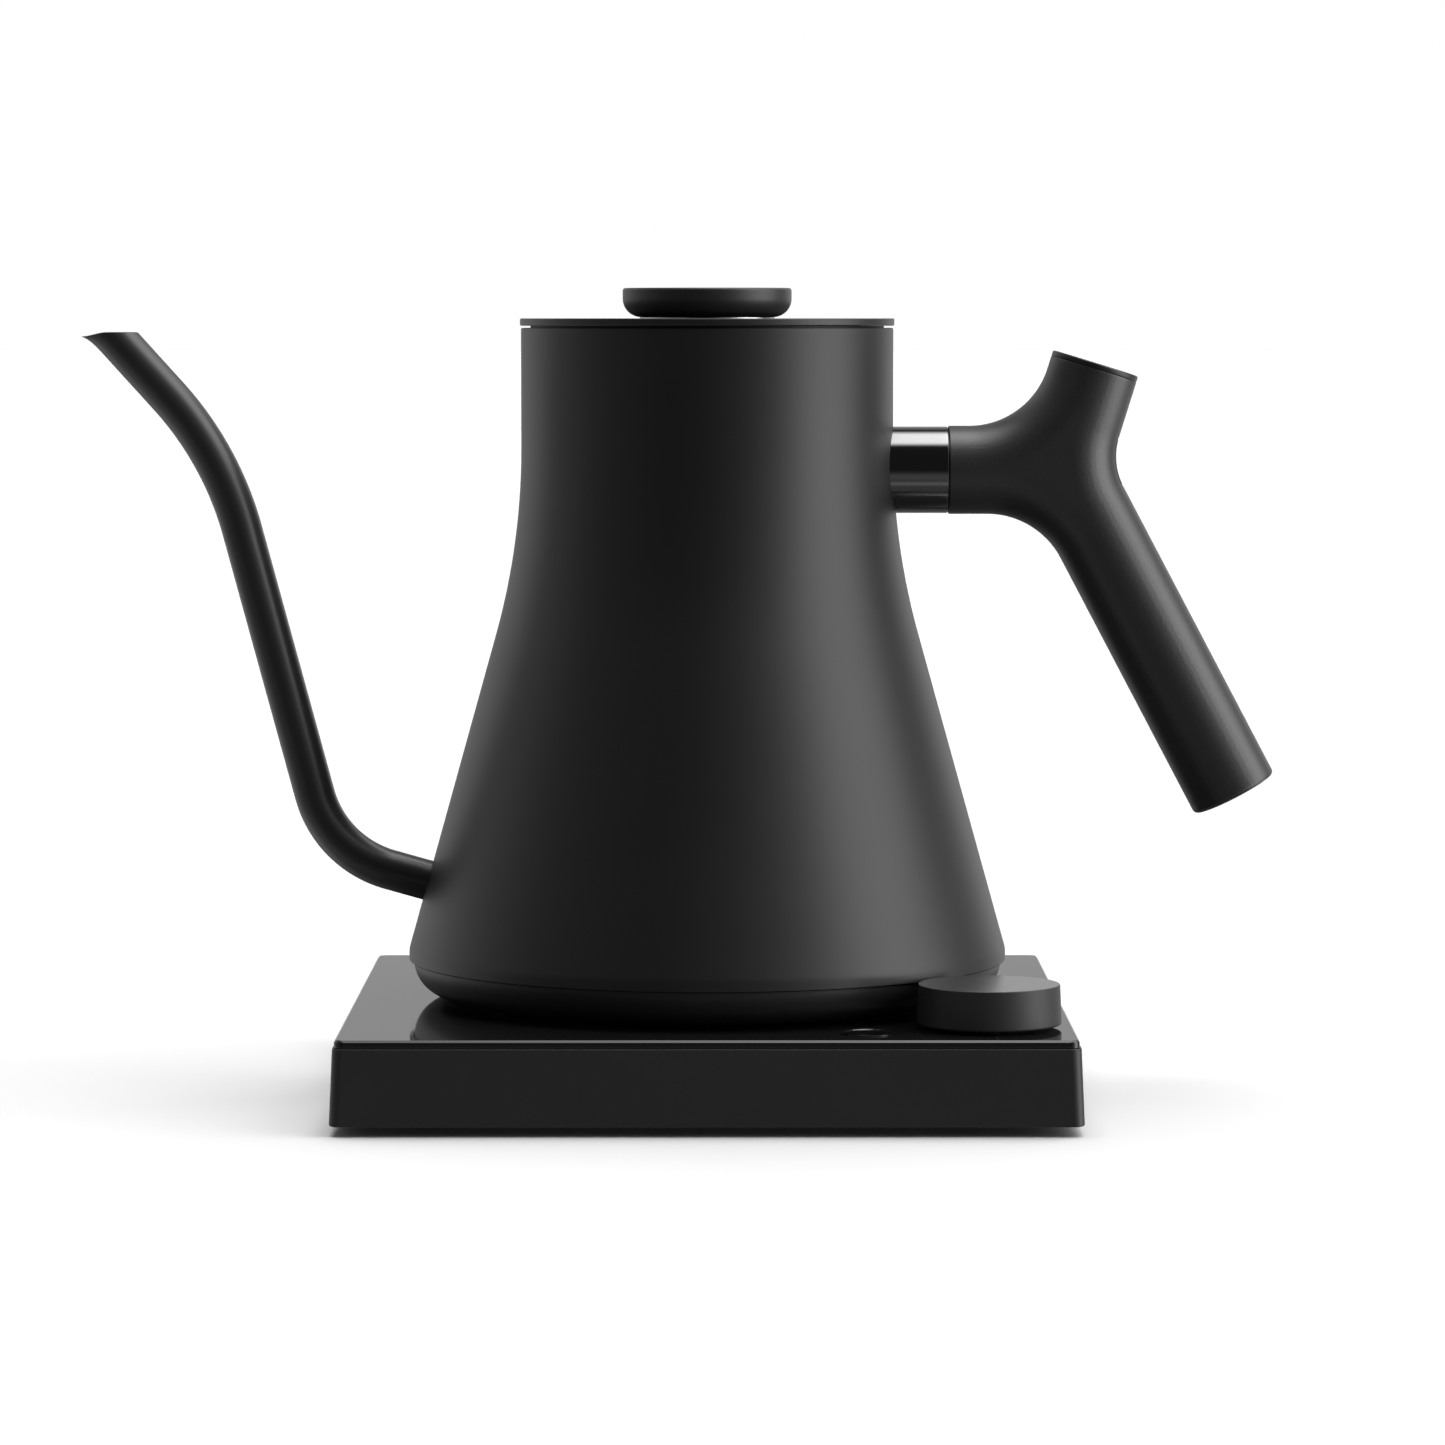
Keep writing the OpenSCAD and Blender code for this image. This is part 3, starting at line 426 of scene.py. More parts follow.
def surface(name, paint, **values):
    """A material with one Principled shader; paint(board) gives what varies over it."""
    material = bpy.data.materials.new(name)
    material.use_nodes = True
    board = Board(material.node_tree)
    sockets = {key.replace("_", " "): value for key, value in values.items()}
    sockets.update(paint(board))
    shader = board.node("BsdfPrincipled", None, sockets)
    board.node("OutputMaterial", None, {"Surface": shader})
    return material


def grainy(name, low, high, rough, spread, grain, depth, clouds=30.0, **values):
    """A coated or moulded surface: colour between two tones, and a fine grain in the bump.

    grain and clouds are how many there are in a metre, and depth is in millimetres.
    """

    def paint(board):
        where = board.place()
        cloud = board.noise(where, clouds)
        speck = board.noise(where, grain, 2.0)
        return {
            "Base Color": board.mix(cloud, tone(low), tone(high)),
            "Roughness": rough + spread * (cloud - 0.5) + 0.06 * (speck - 0.5),
            "Normal": board.bump(speck, depth),
        }

    return surface(name, paint, **values)


def turned(name, low, high, rough, centre, lines, depth):
    """A turned or brushed metal face: fine rings about an upright axis."""

    def paint(board):
        where = board.place()
        x, y, _ = board.parts(where)
        reach = ((x - centre[0] * MM) ** 2 + (y - centre[1] * MM) ** 2) ** 0.5
        along_reach = {"W": reach, "Scale": lines, "Detail": 3.0}
        rings = board.node("TexNoise", {"noise_dimensions": "1D"}, along_reach)
        cloud = board.noise(where, 60.0)
        return {
            "Base Color": board.mix(rings, tone(low), tone(high)),
            "Roughness": rough + 0.1 * (rings - 0.5) + 0.05 * (cloud - 0.5),
            "Normal": board.bump(rings, depth),
        }

    return surface(name, paint, Metallic=1.0)


def scuffed(name, low, high, rough, **values):
    """Polished metal or glass: faint smears and long fine scratches."""
    hair_scale = {"Scale": 420.0, "Detail": 5.0, "Distortion": 3.0}
    hair_depth = 0.0008

    def paint(board):
        where = board.place()
        smear = board.noise(where, 25.0, 4.0)
        hair = board.node("TexNoise", None, {"Vector": where, **hair_scale})
        scratch = hair.ramp(0.62, 0.75)
        return {
            "Base Color": board.mix(smear, tone(low), tone(high)),
            "Roughness": rough + 0.04 * (smear - 0.5) + 0.05 * scratch,
            "Normal": board.bump(hair, hair_depth),
        }

    return surface(name, paint, **values)


def make_materials():
    """Every finish. The numbers are two tones, roughness, its spread, grain and depth."""
    tinted = ((0.28, 0.24, 0.21), (0.42, 0.38, 0.35))
    board_green = ((0.008, 0.07, 0.03), (0.014, 0.10, 0.045))
    relay_blue = ((0.02, 0.05, 0.18), (0.03, 0.07, 0.23))
    sleeve_blue = ((0.015, 0.03, 0.09), (0.02, 0.045, 0.12))
    ceramic = ((0.66, 0.63, 0.54), (0.74, 0.71, 0.62))
    zinc = ((0.48, 0.49, 0.50), (0.60, 0.60, 0.58))
    gold = ((0.72, 0.50, 0.20), (0.85, 0.62, 0.28))
    return {
        "body_coat": grainy("body powder coat", 0.010, 0.014, 0.42, 0.05, 5200.0, 0.004),
        "spout_coat": grainy("spout powder coat", 0.020, 0.026, 0.33, 0.05, 5200.0, 0.004, IOR=1.56),
        "lid_coat": grainy("lid powder coat", 0.011, 0.015, 0.40, 0.05, 5200.0, 0.004),
        "cover_plastic": grainy("bottom cover plastic", 0.016, 0.022, 0.44, 0.06, 3800.0, 0.006),
        "knob_plastic": grainy("knob plastic", 0.022, 0.029, 0.42, 0.05, 3800.0, 0.008),
        "grip_plastic": grainy("grip plastic", 0.013, 0.021, 0.43, 0.06, 1700.0, 0.035, IOR=1.72),
        "cap_plastic": grainy("cap plastic", 0.011, 0.016, 0.38, 0.06, 2800.0, 0.012),
        "pad_rubber": grainy("thumb pad rubber", 0.010, 0.014, 0.62, 0.06, 1800.0, 0.02),
        "foot_rubber": grainy("foot rubber", 0.02, 0.03, 0.7, 0.06, 1800.0, 0.03),
        "housing_plastic": grainy("housing plastic", 0.020, 0.026, 0.48, 0.05, 3200.0, 0.008),
        "ring_plastic": grainy("swivel ring plastic", 0.6, 0.68, 0.35, 0.06, 2600.0, 0.008),
        "connector_plastic": grainy("connector plastic", 0.012, 0.02, 0.38, 0.06, 2600.0, 0.01),
        "top_glass": scuffed("black glass", 0.009, 0.012, 0.05, IOR=1.5),
        "collar_gloss": scuffed("dark polished metal", 0.16, 0.22, 0.12, Metallic=1.0),
        "bare_steel": scuffed("bare steel", 0.55, 0.62, 0.24, Metallic=1.0),
        "dial_coat": grainy("dial side", 0.022, 0.028, 0.52, 0.05, 4200.0, 0.004),
        "dial_face": turned("turned dial face", 0.35, 0.45, 0.22, dial_at, 9000.0, 0.004),
        "button_gloss": scuffed("button gloss", 0.005, 0.008, 0.1),
        # The tray is the same black plastic as the kettle's bottom cover, made darker here as painted shade
        # for its place under the base's overhang
        "tray_plastic_painted_shade": grainy("tray plastic", 0.007, 0.010, 0.55, 0.08, 1900.0, 0.02, IOR=1.3),
        "screw_steel": scuffed("zinc plated screws", *zinc, 0.32, Metallic=1.0),
        "floor_steel": turned("brushed floor steel", 0.52, 0.62, 0.30, (0, 0), 5200.0, 0.006),
        "liner_plastic": grainy("lid liner plastic", 0.016, 0.022, 0.45, 0.06, 2600.0, 0.01),
        "seal_silicone": grainy(
            "seal silicone", 0.50, 0.58, 0.42, 0.08, 900.0, 0.01, Subsurface_Weight=0.15
        ),
        "gold_contact": scuffed("plated contacts", *gold, 0.25, Metallic=1.0),
        "cast_metal": grainy("cast metal", 0.42, 0.55, 0.5, 0.1, 1500.0, 0.03, Metallic=1.0),
        "dark_iron": grainy("dark iron", 0.10, 0.16, 0.5, 0.12, 1300.0, 0.03, Metallic=1.0),
        "element_steel": grainy("heat-tinted steel", *tinted, 0.42, 0.1, 1100.0, 0.02, Metallic=1.0),
        "board_green": grainy("circuit board", *board_green, 0.35, 0.06, 900.0, 0.02, clouds=90.0),
        "relay_blue": grainy("relay case", *relay_blue, 0.36, 0.06, 2400.0, 0.008),
        "sleeve_blue": grainy("capacitor sleeve", *sleeve_blue, 0.28, 0.05, 2400.0, 0.006),
        "black_parts": grainy("black moulded parts", 0.016, 0.022, 0.42, 0.06, 2600.0, 0.01),
        "ceramic": grainy("cutout ceramic", *ceramic, 0.55, 0.08, 1600.0, 0.02),
        "display_face": scuffed("display face", 0.01, 0.014, 0.12),
    }


looks = make_materials()


# ---- Kettle ----

cover_screw_reach = 54
cover_screw_turns = (30, 150, 270)
probe_at = (0, 33)


def wall_heights():
    """Heights of the wall's rings, close together where it bends."""
    low = [seam_z + (foot_top_z - seam_z) * i / 16 for i in range(17)]
    cone = [foot_top_z + (cone_top_z - foot_top_z) * i / 10 for i in range(1, 10)]
    bend = [blend_top_z - blend_r * math.sin(cone_angle * (1 - i / 28)) for i in range(29)]
    neck = [blend_top_z + (rim_z - body_wall / 2 - blend_top_z) * i / 5 for i in range(1, 6)]
    return low + cone + bend + neck


def build_kettle_wall():
    """The steel wall, open at its top, with the way into the spout. It is bare inside."""
    opening_r = 3.4
    opening_reach = 8
    mouth_edge = 0.1
    heights = wall_heights()
    outside = [(wall_radius(z), z) for z in heights]
    inside = [(wall_radius(z) - body_wall, z) for z in reversed(heights)]
    outside[0] = (belly_r, seam_z + 0.3)
    mouth = [(neck_r - mouth_edge, rim_z - mouth_edge), (neck_r - body_wall / 2, rim_z)]
    mouth.append((neck_r - body_wall + mouth_edge, rim_z - mouth_edge))
    foot = [(belly_r - 0.4, seam_z + 0.02), (belly_r - 0.15, seam_z + 0.12)]
    piece = make_piece("kettle_wall", lathe(foot + outside + mouth + inside, closed=True))
    way = rod(opening_r, -opening_reach, opening_reach, 48)
    cut(piece, placed(way, Matrix.Translation(spout_root) @ leaning(root_tilt)))
    finish_piece(piece, "body_coat", "kettle", ["kettle_body"])
    piece.data.materials.append(looks["bare_steel"])
    for face in piece.data.polygons:
        x, y, z = face.center / MM
        if math.hypot(x, y) < wall_radius(z) - body_wall * 0.75:
            face.material_index = 1


def build_bottom_cover():
    """The rounded cover under the kettle, with its landing rim and screw wells."""
    cover_r = belly_r - 1.15
    edge_r = seam_z - stand_z
    landing_r = 59.6
    hole_r = 21.5
    low = 24.5
    top = 26.5
    lip_top = seam_z + 0.7
    outline = [(hole_r, top), (hole_r, low), (landing_r - 1.0, low)]
    outline += [(landing_r - 0.2, stand_z + 0.1), (landing_r, stand_z)]
    for a in range(-90, 0, 5):
        turn = math.radians(a)
        outline.append((cover_r - edge_r + edge_r * math.cos(turn), seam_z + edge_r * math.sin(turn)))
    outline += [(cover_r, seam_z + 0.5), (cover_r - 0.2, lip_top), (cover_r - 1.6, lip_top)]
    outline += [(cover_r - 2.0, seam_z - 0.3), (68.6, top + 1.3), (65.0, top)]
    piece = make_piece("bottom_cover", lathe(outline, closed=True))
    head_r = 3.0
    shank_r = 1.5
    seat = 25.7
    well = [(0, 24), (head_r, 24), (head_r, seat), (shank_r, seat), (shank_r, 28), (0, 28)]
    wells = []
    for turn in map(math.radians, cover_screw_turns):
        at = (cover_screw_reach * math.cos(turn), cover_screw_reach * math.sin(turn))
        wells.append(lathe(well, 40, at=at))
    cut(piece, *wells)
    finish_piece(piece, "cover_plastic", "kettle", ["kettle_bottom_cover"])


def build_connector():
    """The cup under the kettle that goes over the base's hub and its ring."""
    hub_bore_r = 15.5
    ring_bore_r = 18.3
    cup_r = 21.4
    flange_r = 26.9
    low = 24.5
    roof = 31.6
    top = 34.6
    outline = [(0, roof), (hub_bore_r, roof), (hub_bore_r, low + 2.1), (ring_bore_r, low + 2.1)]
    outline += [(ring_bore_r, low + 0.4), (ring_bore_r + 0.4, low), (cup_r - 0.4, low), (cup_r, low + 0.3)]
    outline += [(cup_r, low + 2), (flange_r, low + 2), (flange_r, low + 4), (cup_r, low + 4)]
    outline += [(cup_r, top - 0.2), (cup_r - 0.2, top), (0, top)]
    add_piece("connector_cup", lathe(outline, 128), "connector_plastic", "kettle", ["kettle_connector"])


def build_floor():
    """The steel floor inside, dished a little at its rim where it is welded, with the probe's hole."""
    low = 38.0
    sheet = 0.5
    probe_hole_r = 4.0
    edge = wall_radius(low) - body_wall - 0.02
    outline = [(0, low), (edge, low), (edge - 0.34, low + 1.2), (edge - 1.2, low + 0.75)]
    outline += [(edge - 3.0, low + sheet), (0, low + sheet)]
    piece = make_piece("kettle_floor", lathe(outline))
    cut(piece, rod(probe_hole_r, 30, 45, at=probe_at))
    finish_piece(piece, "floor_steel", "kettle", ["floor_plate"], "bare_steel")


# ---- Spout ----

root_tilt = 74.3
limb_tilt = 15.03
tip_tilt = 42.1
root_bend_r = 26.4
tip_bend_r = 80.0
root_len = 24.8
limb_len = 101.6
mouth_rise = 29.7
root_z = stand_z + 27.6
lip_len = 6.5
lip_pull = Vector((-0.55, 0, -1.0))
sideways = Vector((0, 1, 0))


def spout_way(tilt):
    """The way along the spout where it leans out by a tilt in degrees."""
    a = math.radians(tilt)
    return Vector((-math.sin(a), 0, math.cos(a)))


def spout_side(tilt):
    """The way across the spout, towards the kettle, at a tilt."""
    a = math.radians(tilt)
    return Vector((math.cos(a), 0, math.sin(a)))


def leaning(tilt):
    """Turns the upright axis to the way along the spout at a tilt."""
    return Matrix.Rotation(-math.radians(tilt), 4, "Y")


spout_root = Vector((-wall_radius(root_z), 0, root_z))
spout_low = spout_root + root_len * spout_way(root_tilt)
spout_high = spout_low + limb_len * spout_way(limb_tilt)
mouth_z = spout_high.z + mouth_rise


def spout_bends(steps):
    """Places and tilts along the two bends of the spout's line."""
    low_reach = root_bend_r * math.tan(math.radians(root_tilt - limb_tilt) / 2)
    high_reach = tip_bend_r * math.tan(math.radians(tip_tilt - limb_tilt) / 2)
    low_c = spout_low - low_reach * spout_way(root_tilt) + root_bend_r * spout_side(root_tilt)
    high_c = spout_high - high_reach * spout_way(limb_tilt) - tip_bend_r * spout_side(limb_tilt)
    line = []
    for i in range(steps + 1):
        tilt = root_tilt + (limb_tilt - root_tilt) * i / steps
        line.append((low_c - root_bend_r * spout_side(tilt), tilt))
    for i in range(steps + 1):
        tilt = limb_tilt + (tip_tilt - limb_tilt) * i / steps
        line.append((high_c + tip_bend_r * spout_side(tilt), tilt))
    return line


def spout_start(turn, r):
    """The point where one line along the tube meets the middle of the kettle's wall."""
    out = r * (math.cos(turn) * spout_side(root_tilt) + math.sin(turn) * sideways)
    near, far = -12.0, 12.0
    for _ in range(40):
        middle = (near + far) / 2
        p = spout_root + middle * spout_way(root_tilt) + out
        if math.hypot(p.x, p.y) < wall_radius(p.z) - body_wall / 2:
            near = middle
        else:
            far = middle
    return spout_root + near * spout_way(root_tilt) + out


def spout_end(turn, r, share):
    """A point on the last straight length: share 1 is at the level mouth, with its lip drawn out."""
    bend_end = spout_bends(2)[-1][0]
    out = r * (math.cos(turn) * spout_side(tip_tilt) + math.sin(turn) * sideways)
    way = spout_way(tip_tilt)
    length = (mouth_z - bend_end.z - out.z) / way.z
    lip = max(0.0, min(1.0, (-math.cos(turn) - 0.1) / 0.9))
    lip = lip * lip * (3 - 2 * lip)
    near = max(0.0, 1 - (1 - share) * length / lip_len)
    return bend_end + share * length * way + out + lip * near**3 * lip_pull


def spout_rings(r, sides):
    """Rings of points along the spout at one radius, from the kettle's wall to the mouth."""
    turns = [2 * math.pi * i / sides for i in range(sides)]
    rings = [[spout_start(t, r) for t in turns]]
    for at, tilt in spout_bends(24):
        side = spout_side(tilt)
        rings.append([at + r * (math.cos(t) * side + math.sin(t) * sideways) for t in turns])
    for share in (0.25, 0.5, 0.65, 0.75, 0.82, 0.88, 0.93, 0.97, 1.0):
        rings.append([spout_end(t, r, share) for t in turns])
    return rings


def build_spout():
    """The thin tube, with a rounded edge at its mouth."""
    edge_rise = Vector((0, 0, 0.12))
    outside = spout_rings(spout_r, 96)
    inside = spout_rings(spout_r - spout_wall, 96)
    edge = [(a + b) / 2 + edge_rise for a, b in zip(outside[-1], inside[-1])]
    shape = loft(outside + [edge] + inside[::-1], closed=True)
    add_piece("pouring_spout", shape, "spout_coat", "kettle", ["spout"])


# ---- Handle ----

stub_tilt = math.radians(17.2)
grip_tilt = math.radians(27.9)
stub_len = 26.6
grip_len = 91.2
arm_r = 10.8
grip_r = 10.9
grip_end_r = 10.95
waist_r = 16.0
stub_fillet_r = 20.0
grip_fillet_r = 20.5
cap_t = 1.4
cross_rise = 0.65
arm_x = 60.0
arm_end_x = 59.3
crossing = Vector((handle_x, 0, arm_z + cross_rise))
stub_way = Vector((math.sin(stub_tilt), 0, math.cos(stub_tilt)))
grip_way = Vector((math.sin(grip_tilt), 0, -math.cos(grip_tilt)))
pad_turn = stub_tilt + grip_tilt - 2 * math.radians(1.5)
pad_half_w = 3.4
pad_corner_r = 1.6


def handle_outline():
    """The handle's outline in the upright plane, run past its three ends, as X-Z points."""
    beyond = 16.0
    origin = Vector((handle_x, arm_z + cross_rise))
    turn = stub_tilt + grip_tilt
    bend_r = waist_r + grip_r
    offset = bend_r / math.cos(turn / 2)
    middle = (grip_tilt - stub_tilt) / 2
    hollow = origin + offset * Vector((math.cos(middle), math.sin(middle)))

    def arc(centre, r, a0, a1, steps):
        spots = [a0 + (a1 - a0) * i / steps for i in range(steps + 1)]
        return [centre + r * Vector((math.cos(a), math.sin(a))) for a in spots]

    def rise(fillet, tilt, sign):
        """The arc between the arm and a limb; sign is 1 above the arm and -1 below."""
        up = arm_r + fillet
        level = up - sign * cross_rise
        along = (level * math.sin(tilt) - grip_r - fillet) / math.cos(tilt)
        centre = Vector((handle_x + along, arm_z + sign * up))
        return arc(centre, fillet, -sign * math.pi / 2, -sign * tilt, 40)

    stub = Vector((math.sin(stub_tilt), math.cos(stub_tilt)))
    grip = Vector((math.sin(grip_tilt), -math.cos(grip_tilt)))
    stub_left = Vector((-stub.y, stub.x))
    grip_left = Vector((grip.y, -grip.x))
    outline = [Vector((arm_x - beyond, arm_z + arm_r))]
    outline += rise(stub_fillet_r, stub_tilt, 1)
    outline.append(origin + (stub_len + beyond) * stub + grip_r * stub_left)
    outline.append(origin + (stub_len + beyond) * stub - grip_r * stub_left)
    outline += arc(hollow, waist_r, math.pi - stub_tilt, math.pi + grip_tilt, 40)
    outline.append(origin + (grip_len + beyond) * grip - grip_end_r * grip_left)
    outline.append(origin + (grip_len + beyond) * grip + grip_end_r * grip_left)
    outline += rise(grip_fillet_r, grip_tilt, -1)[::-1]
    outline.append(Vector((arm_x - beyond, arm_z - arm_r)))
    return np.array([(p.x, p.y) for p in outline])


def outline_depth(outline, spots):
    """Signed distance of X-Z points from an outline, negative inside, and the way out."""
    depth = np.full(len(spots), 1e9)
    way = np.zeros((len(spots), 2))
    inside = np.zeros(len(spots), bool)
    for a, b in zip(outline, np.roll(outline, -1, axis=0)):
        edge = b - a
        rel = spots - a
        t = np.clip((rel @ edge) / (edge @ edge), 0, 1)
        gap = rel - t[:, None] * edge
        far = np.hypot(gap[:, 0], gap[:, 1])
        near = far < depth
        depth[near] = far[near]
        way[near] = gap[near]
        if a[1] != b[1]:
            cross = (a[1] > spots[:, 1]) != (b[1] > spots[:, 1])
            at = a[0] + (spots[:, 1] - a[1]) * edge[0] / edge[1]
            inside ^= cross & (spots[:, 0] < at)
    sign = np.where(inside, -1.0, 1.0)
    size = np.maximum(depth, 1e-9)
    return sign * depth, way * (sign / size)[:, None]


def handle_field(outline, spots):
    """How far points are outside the round-sided handle, and the slope of that."""
    depth, way = outline_depth(outline, spots[:, [0, 2]])
    middle = np.maximum(grip_r + depth, 0.0)
    size = np.maximum(np.hypot(spots[:, 1], middle), 1e-9)
    slope = np.stack([way[:, 0] * middle, spots[:, 1], way[:, 1] * middle], axis=1)
    return size - grip_r, slope / size[:, None]


def skin(values, low, step):
    """Quads round the region of a grid where the values are negative."""
    inside = values < 0
    counts = np.array(values.shape) - 1
    cells = {}
    points = []
    corners = [np.array(c) for c in np.ndindex(2, 2, 2)]
    edges = [(a, b) for a in corners for b in corners if (b - a).sum() == 1 and (b >= a).all()]
    total = 0
    for corner in corners:
        total = total + inside[tuple(slice(c, c + n) for c, n in zip(corner, counts))].astype(int)
    for cell in np.argwhere((total > 0) & (total < 8)):
        hits = []
        for a, b in edges:
            va = values[tuple(cell + a)]
            vb = values[tuple(cell + b)]
            if (va < 0) != (vb < 0):
                hits.append(cell + a + (b - a) * (va / (va - vb)))
        cells[tuple(cell)] = len(points)
        points.append(low + step * np.mean(hits, axis=0))
    faces = []
    for axis in range(3):
        u, v = (axis + 1) % 3, (axis + 2) % 3
        ahead = np.take(inside, range(1, inside.shape[axis]), axis)
        here = np.take(inside, range(inside.shape[axis] - 1), axis)
        for spot in np.argwhere(here != ahead):
            around = []
            for du, dv in ((0, 0), (-1, 0), (-1, -1), (0, -1)):
                cell = spot.copy()
                cell[u] += du
                cell[v] += dv
                around.append(cells.get(tuple(cell)))
            if None not in around:
                faces.append(tuple(around if here[tuple(spot)] else around[::-1]))
    return np.array(points), faces


def end_piece(bm, at, way, rows):
    """Cuts a mesh across and closes it with smaller rings. Each row is (inset, advance)."""
    geometry = bm.verts[:] + bm.edges[:] + bm.faces[:]
    bmesh.ops.bisect_plane(bm, geom=geometry, plane_co=at, plane_no=way, clear_outer=True, dist=1e-4)
    bmesh.ops.remove_doubles(bm, verts=bm.verts, dist=1e-3)

    def on_cut(edge):
        return all(abs((v.co - at).dot(way)) < 2e-3 for v in edge.verts)

    loop = [e for e in bm.edges if e.is_boundary and on_cut(e)]
    for inset, advance in rows:
        grown = bmesh.ops.extrude_edge_only(bm, edges=loop)["geom"]
        loop = [e for e in grown if isinstance(e, bmesh.types.BMEdge)]
        for vert in {v for e in loop for v in e.verts}:
            out = vert.co - at
            out -= out.dot(way) * way
            vert.co += advance * way - inset * out.normalized()
    bmesh.ops.contextual_create(bm, geom=loop)


def round_rows(r, steps):
    """Rows for end_piece that round its edge."""
    rows = []
    for i in range(steps):
        a0 = math.pi / 2 * i / steps
        a1 = math.pi / 2 * (i + 1) / steps
        rows.append((r * (math.cos(a0) - math.cos(a1)), r * (math.sin(a1) - math.sin(a0))))
    return rows


def handle_skin():
    """Points and faces round the three limbs, run past their ends, on a grid that holds them all."""
    outline = handle_outline()
    step = 0.7
    low = np.array([52.0, -12.3, 64.0])
    high = np.array([143.0, 12.3, 184.0])
    axes = [np.arange(low[k], high[k] + step, step) for k in range(3)]
    flat = np.stack(np.meshgrid(axes[0], axes[2], indexing="ij"), -1).reshape(-1, 2)
    depth, _ = outline_depth(outline, flat)
    middle = np.maximum(grip_r + depth, 0.0).reshape(len(axes[0]), 1, len(axes[2]))
    values = np.hypot(axes[1][None, :, None], middle) - grip_r
    points, faces = skin(values, low, step)
    for _ in range(4):
        far, slope = handle_field(outline, points)
        size = np.maximum((slope**2).sum(axis=1), 0.05)
        points -= (far / size)[:, None] * slope
    return points, faces


def end_handle(bm):
    """Closes the grip with a low dome, and the stub and the arm with flat ends."""
    dome = round_rows(1.1, 4) + [(2.5, 0.25), (3.0, 0.15), (2.5, 0.05)]
    dome_rise = 1.55
    stub_round = 0.2
    arm_round = 0.3
    grip_end = crossing + (grip_len - dome_rise) * grip_way
    stub_end = crossing + (stub_len - cap_t - stub_round) * stub_way
    arm_end = Vector((arm_end_x, 0, arm_z))
    end_piece(bm, grip_end, grip_way, dome)
    end_piece(bm, stub_end, stub_way, round_rows(stub_round, 2) + [(1.5, 0)])
    end_piece(bm, arm_end, Vector((-1, 0, 0)), round_rows(arm_round, 3) + [(2.0, 0)])


def build_handle():
    """Arm, stub and grip as one smooth moulding, with a pocket for the thumb pad."""
    points, faces = handle_skin()
    mesh = bpy.data.meshes.new("handle_moulding")
    mesh.from_pydata(points.tolist(), [], faces)
    bm = bmesh.new()
    bm.from_mesh(mesh)
    end_handle(bm)
    bmesh.ops.scale(bm, vec=(MM, MM, MM), verts=bm.verts)
    bm.to_mesh(mesh)
    bm.free()
    tidy_mesh(mesh)
    piece = bpy.data.objects.new("handle_moulding", mesh)
    bpy.context.scene.collection.objects.link(piece)
    pocket_floor = [(share, 1.3) for share in (0, 0.4, 0.75, 1)]
    pocket_mouth = [(share, -0.4) for share in (1, 0.75, 0.4, 0)]
    cut(piece, loft(pad_sheet(pocket_floor + [(1, 0.5)] + pocket_mouth, 0.1)))
    finish_piece(piece, "grip_plastic", "kettle", ["handle_shell"])


def pad_sheet(depths, grow=0.0):
    """Rounded-rectangle rings that follow the hollow of the handle's bend, from its inner face out.

    Each of depths is (share of the full size, depth below the handle's surface).
    """
    turn = stub_tilt + grip_tilt
    offset = (waist_r + grip_r) / math.cos(turn / 2)
    middle = (grip_tilt - stub_tilt) / 2
    centre = crossing + offset * Vector((math.cos(middle), 0, math.sin(middle)))
    half_l = waist_r * pad_turn / 2 + grow
    half_w = pad_half_w + grow
    signs = ((-1, -1), (1, -1), (1, 1), (-1, 1))
    loop = soften([(sx * half_l, sy * half_w, pad_corner_r) for sx, sy in signs], 8)
    dense = []
    for (u0, v0), (u1, v1) in zip(loop, loop[1:] + loop[:1]):
        pieces = max(1, math.ceil(math.hypot(u1 - u0, v1 - v0) / 0.6))
        dense += [(u0 + (u1 - u0) * i / pieces, v0 + (v1 - v0) * i / pieces) for i in range(pieces)]
    rings = []
    for share, depth in depths:
        ring = []
        for u, v in dense if share > 0 else [(0.0, 0.0)]:
            a = math.pi + middle + u * share / waist_r
            b = v * share / grip_r
            radial = Vector((math.cos(a), 0, math.sin(a)))
            line = centre + (waist_r + grip_r) * radial
            ring.append(line + (grip_r - depth) * (math.sin(b) * sideways - math.cos(b) * radial))
        rings.append(ring)
    return rings


def build_thumb_pad():
    """The soft pad let into the hollow where the thumb rests."""
    inner = [(share, 1.2) for share in (0, 0.3, 0.6, 0.85, 1)]
    edge = [(1, 0.3), (0.985, 0.12), (0.95, 0.02)]
    outer = [(share, 0) for share in (0.9, 0.75, 0.6, 0.45, 0.3, 0.15, 0)]
    shape = loft(pad_sheet(inner + edge + outer))
    add_piece("thumb_inlay", shape, "pad_rubber", "kettle", ["thumb_pad"], sharp=50)


def along(at, way):
    """Turns the upright axis into another one."""
    return Matrix.Translation(at) @ Vector((0, 0, 1)).rotation_difference(way).to_matrix().to_4x4()


def build_handle_cap():
    """The cap on the stub, with the plug that holds it."""
    plug_r = 7.65
    plug_low = 22.2
    cap_low = 25.25
    corners = [(0, plug_low, 0), (plug_r, plug_low, 0), (plug_r, cap_low, 0)]
    corners += [(grip_r, cap_low, 0.15), (grip_r, stub_len, 0.5), (0, stub_len, 0)]
    shape = placed(lathe(soften(corners), 128), along(crossing, stub_way))
    add_piece("handle_end_cap", shape, "cap_plastic", "kettle", ["handle_cap"])


